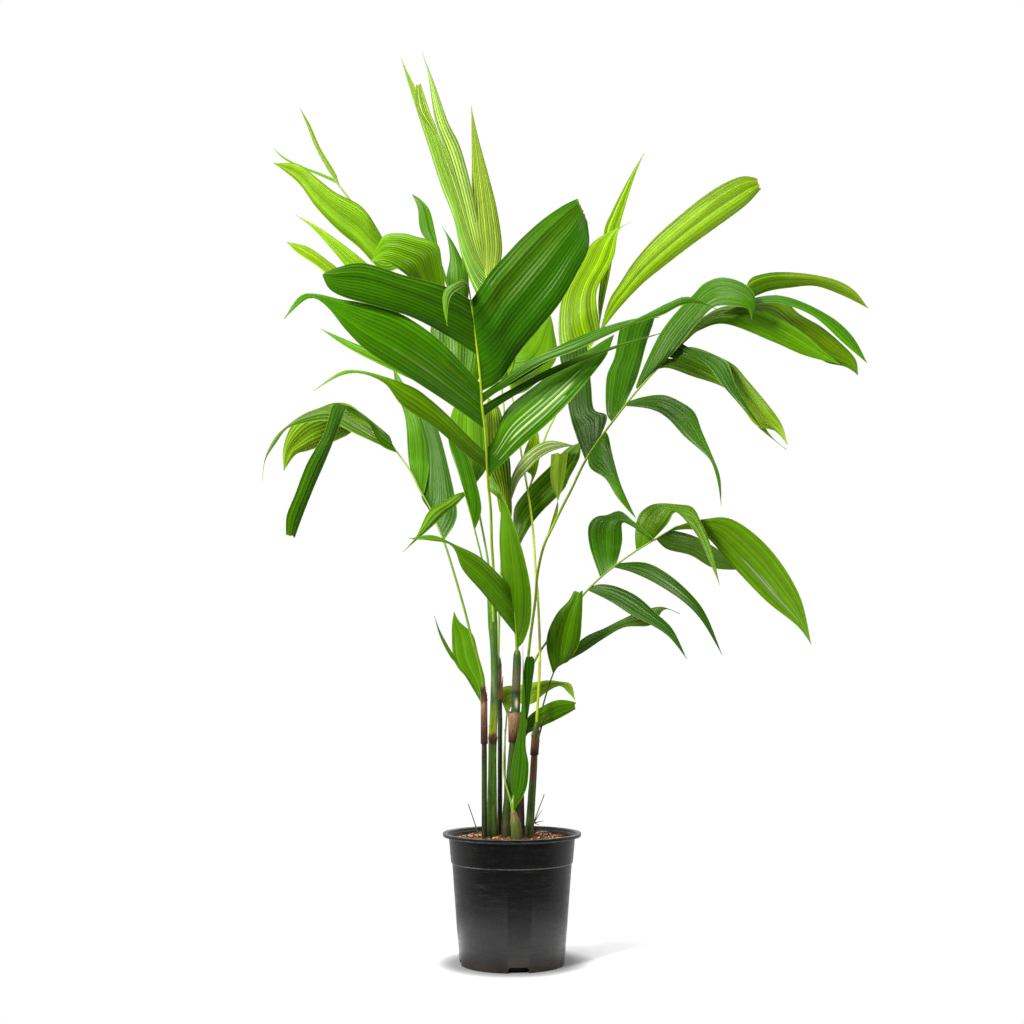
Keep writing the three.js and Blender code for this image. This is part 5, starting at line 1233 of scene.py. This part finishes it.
def scattered(name, skin):
    number, reach, seed, smallest, sizes = soil[name]
    shapes = bpy.data.collections.new(name)
    for i, size in enumerate(sizes):
        shapes.objects.link(bitShape("%s%d" % (name, i), size, chance))
    ground = addObject(name, surface.data.copy())
    density = number / (math.pi * (reach * mm) ** 2)
    laid = runForm(ground, scatter, Bits=shapes, Density=density, Reach=reach * mm, Seed=seed,
                   Smallest=smallest, Material=skin)
    for shape in list(shapes.objects):
        bpy.data.objects.remove(shape)
    bpy.data.collections.remove(shapes)
    return laid


chips = scattered("chips", chipSurface)
grains = scattered("perliteGrains", perliteSurface)
bpy.data.objects.remove(surface)
rustDry = drySkin("rustFibre", (150, 92, 62), (66, 36, 24))
threads = []
startReach, lastReach = soil["fibreReach"]
for _ in range(soil["fibres"]):
    angle, radius = chance.uniform(0, fullTurn), startReach * math.sqrt(chance.random())
    way = chance.uniform(0, fullTurn)
    height = soil["top"] + soil["fibreLift"]
    path = [np.array([radius * math.cos(angle), radius * math.sin(angle), height])]
    for _ in range(soil["fibreSteps"]):
        way += chance.normal(0, soil["fibreTurn"])
        aside = np.array([math.cos(way), math.sin(way), chance.normal(*soil["fibreRise"])])
        point = path[-1] + aside * soil["fibreStep"]
        if math.hypot(point[0], point[1]) > lastReach:
            break
        path.append(point)
    if len(path) > 3:
        threads.append(path)
joined(bed, chips, grains, strands("coir", threads, soil["fibreRadius"], rustDry, 4))
replace(bed, "soil")
print("soil done")

studio = {
    "white": 1.0,
    "around": (0.16, 0.55),  # white all round: before and behind the plant
    "lights": [  # name, place, aim, size and watts
        ("front", (-1.8, -2.4, 2.0), (0, 0, 0.8), 0.9, 165),
        ("left", (-2.5, -1.0, 1.8), (0, 0, 0.7), 1.0, 55),
        ("right", (2.4, -1.2, 1.5), (0.1, 0, 0.6), 1.1, 30),
        ("above", (0.1, -0.6, 3.4), (0, 0, 0.6), 1.4, 50),
        ("behind", (0.7, 2.3, 2.3), (0, 0, 0.8), 1.8, 22),
    ],
    "floorHalf": 6,
    "floor": (0.19, 0.36),  # the floor fades into the white within these radii
    "floorPaintedShadow": (0.095, 0.16, 0.29, 0.95),  # darker near the pot as a painted contact shadow: radii, and how light it is at them
    "lens": 50, "sensor": 36, "clip": (0.05, 50), "eye": (0, -2.51, 0.481), "pitch": 6.75,
}

edge = studio["floorHalf"]
floorMesh = bpy.data.meshes.new("floor")
floorMesh.from_pydata([(-edge, -edge, 0), (edge, -edge, 0), (edge, edge, 0), (-edge, edge, 0)], [],
                      [(0, 1, 2, 3)])
floorSkin = Skin("floorWhite", 0.9, 0.1)
away = floorSkin.length(floorSkin.placed())
# painted shadow: the floor is darker close to the pot
floorSkin.colour = floorSkin.ranged(away, *studio["floorPaintedShadow"])
clear = floorSkin.add("BsdfTransparent")[0]
floorSkin.blendWith(floorSkin.ranged(away, *studio["floor"]), clear)
floorMesh.materials.append(floorSkin.done())
floor = addObject("floor", floorMesh)

scene = bpy.context.scene
scene.view_settings.view_transform = "Standard"
scene.world = bpy.data.worlds.new("studio")
scene.world.use_nodes = True
sky = Graph(scene.world.node_tree)
background = sky.tree.nodes["Background"].inputs
background["Color"].default_value = (1, 1, 1, 1)
direct = sky.add("LightPath")["Is Camera Ray"]
way = sky.add("SeparateXYZ", {0: sky.add("TexCoord")["Generated"]})[1]
glow = sky.ranged(way, -0.5, 0.3, *studio["around"])
sky.feed(background["Strength"], sky.ranged(direct, 0, 1, glow, studio["white"], False))

for name, place, target, size, watts in studio["lights"]:
    lamp = bpy.data.lights.new(name, "AREA")
    lamp.shape, lamp.size, lamp.energy = "DISK", size, watts
    light = addObject(name, lamp)
    light.location = place
    light.rotation_euler = (Vector(target) - light.location).to_track_quat("-Z", "Y").to_euler()

lens = bpy.data.cameras.new("camera")
lens.lens, lens.sensor_width = studio["lens"], studio["sensor"]
lens.clip_start, lens.clip_end = studio["clip"]
camera = addObject("camera", lens)
camera.location = studio["eye"]
camera.rotation_euler = (math.radians(90 + studio["pitch"]), 0, 0)
scene.camera = camera
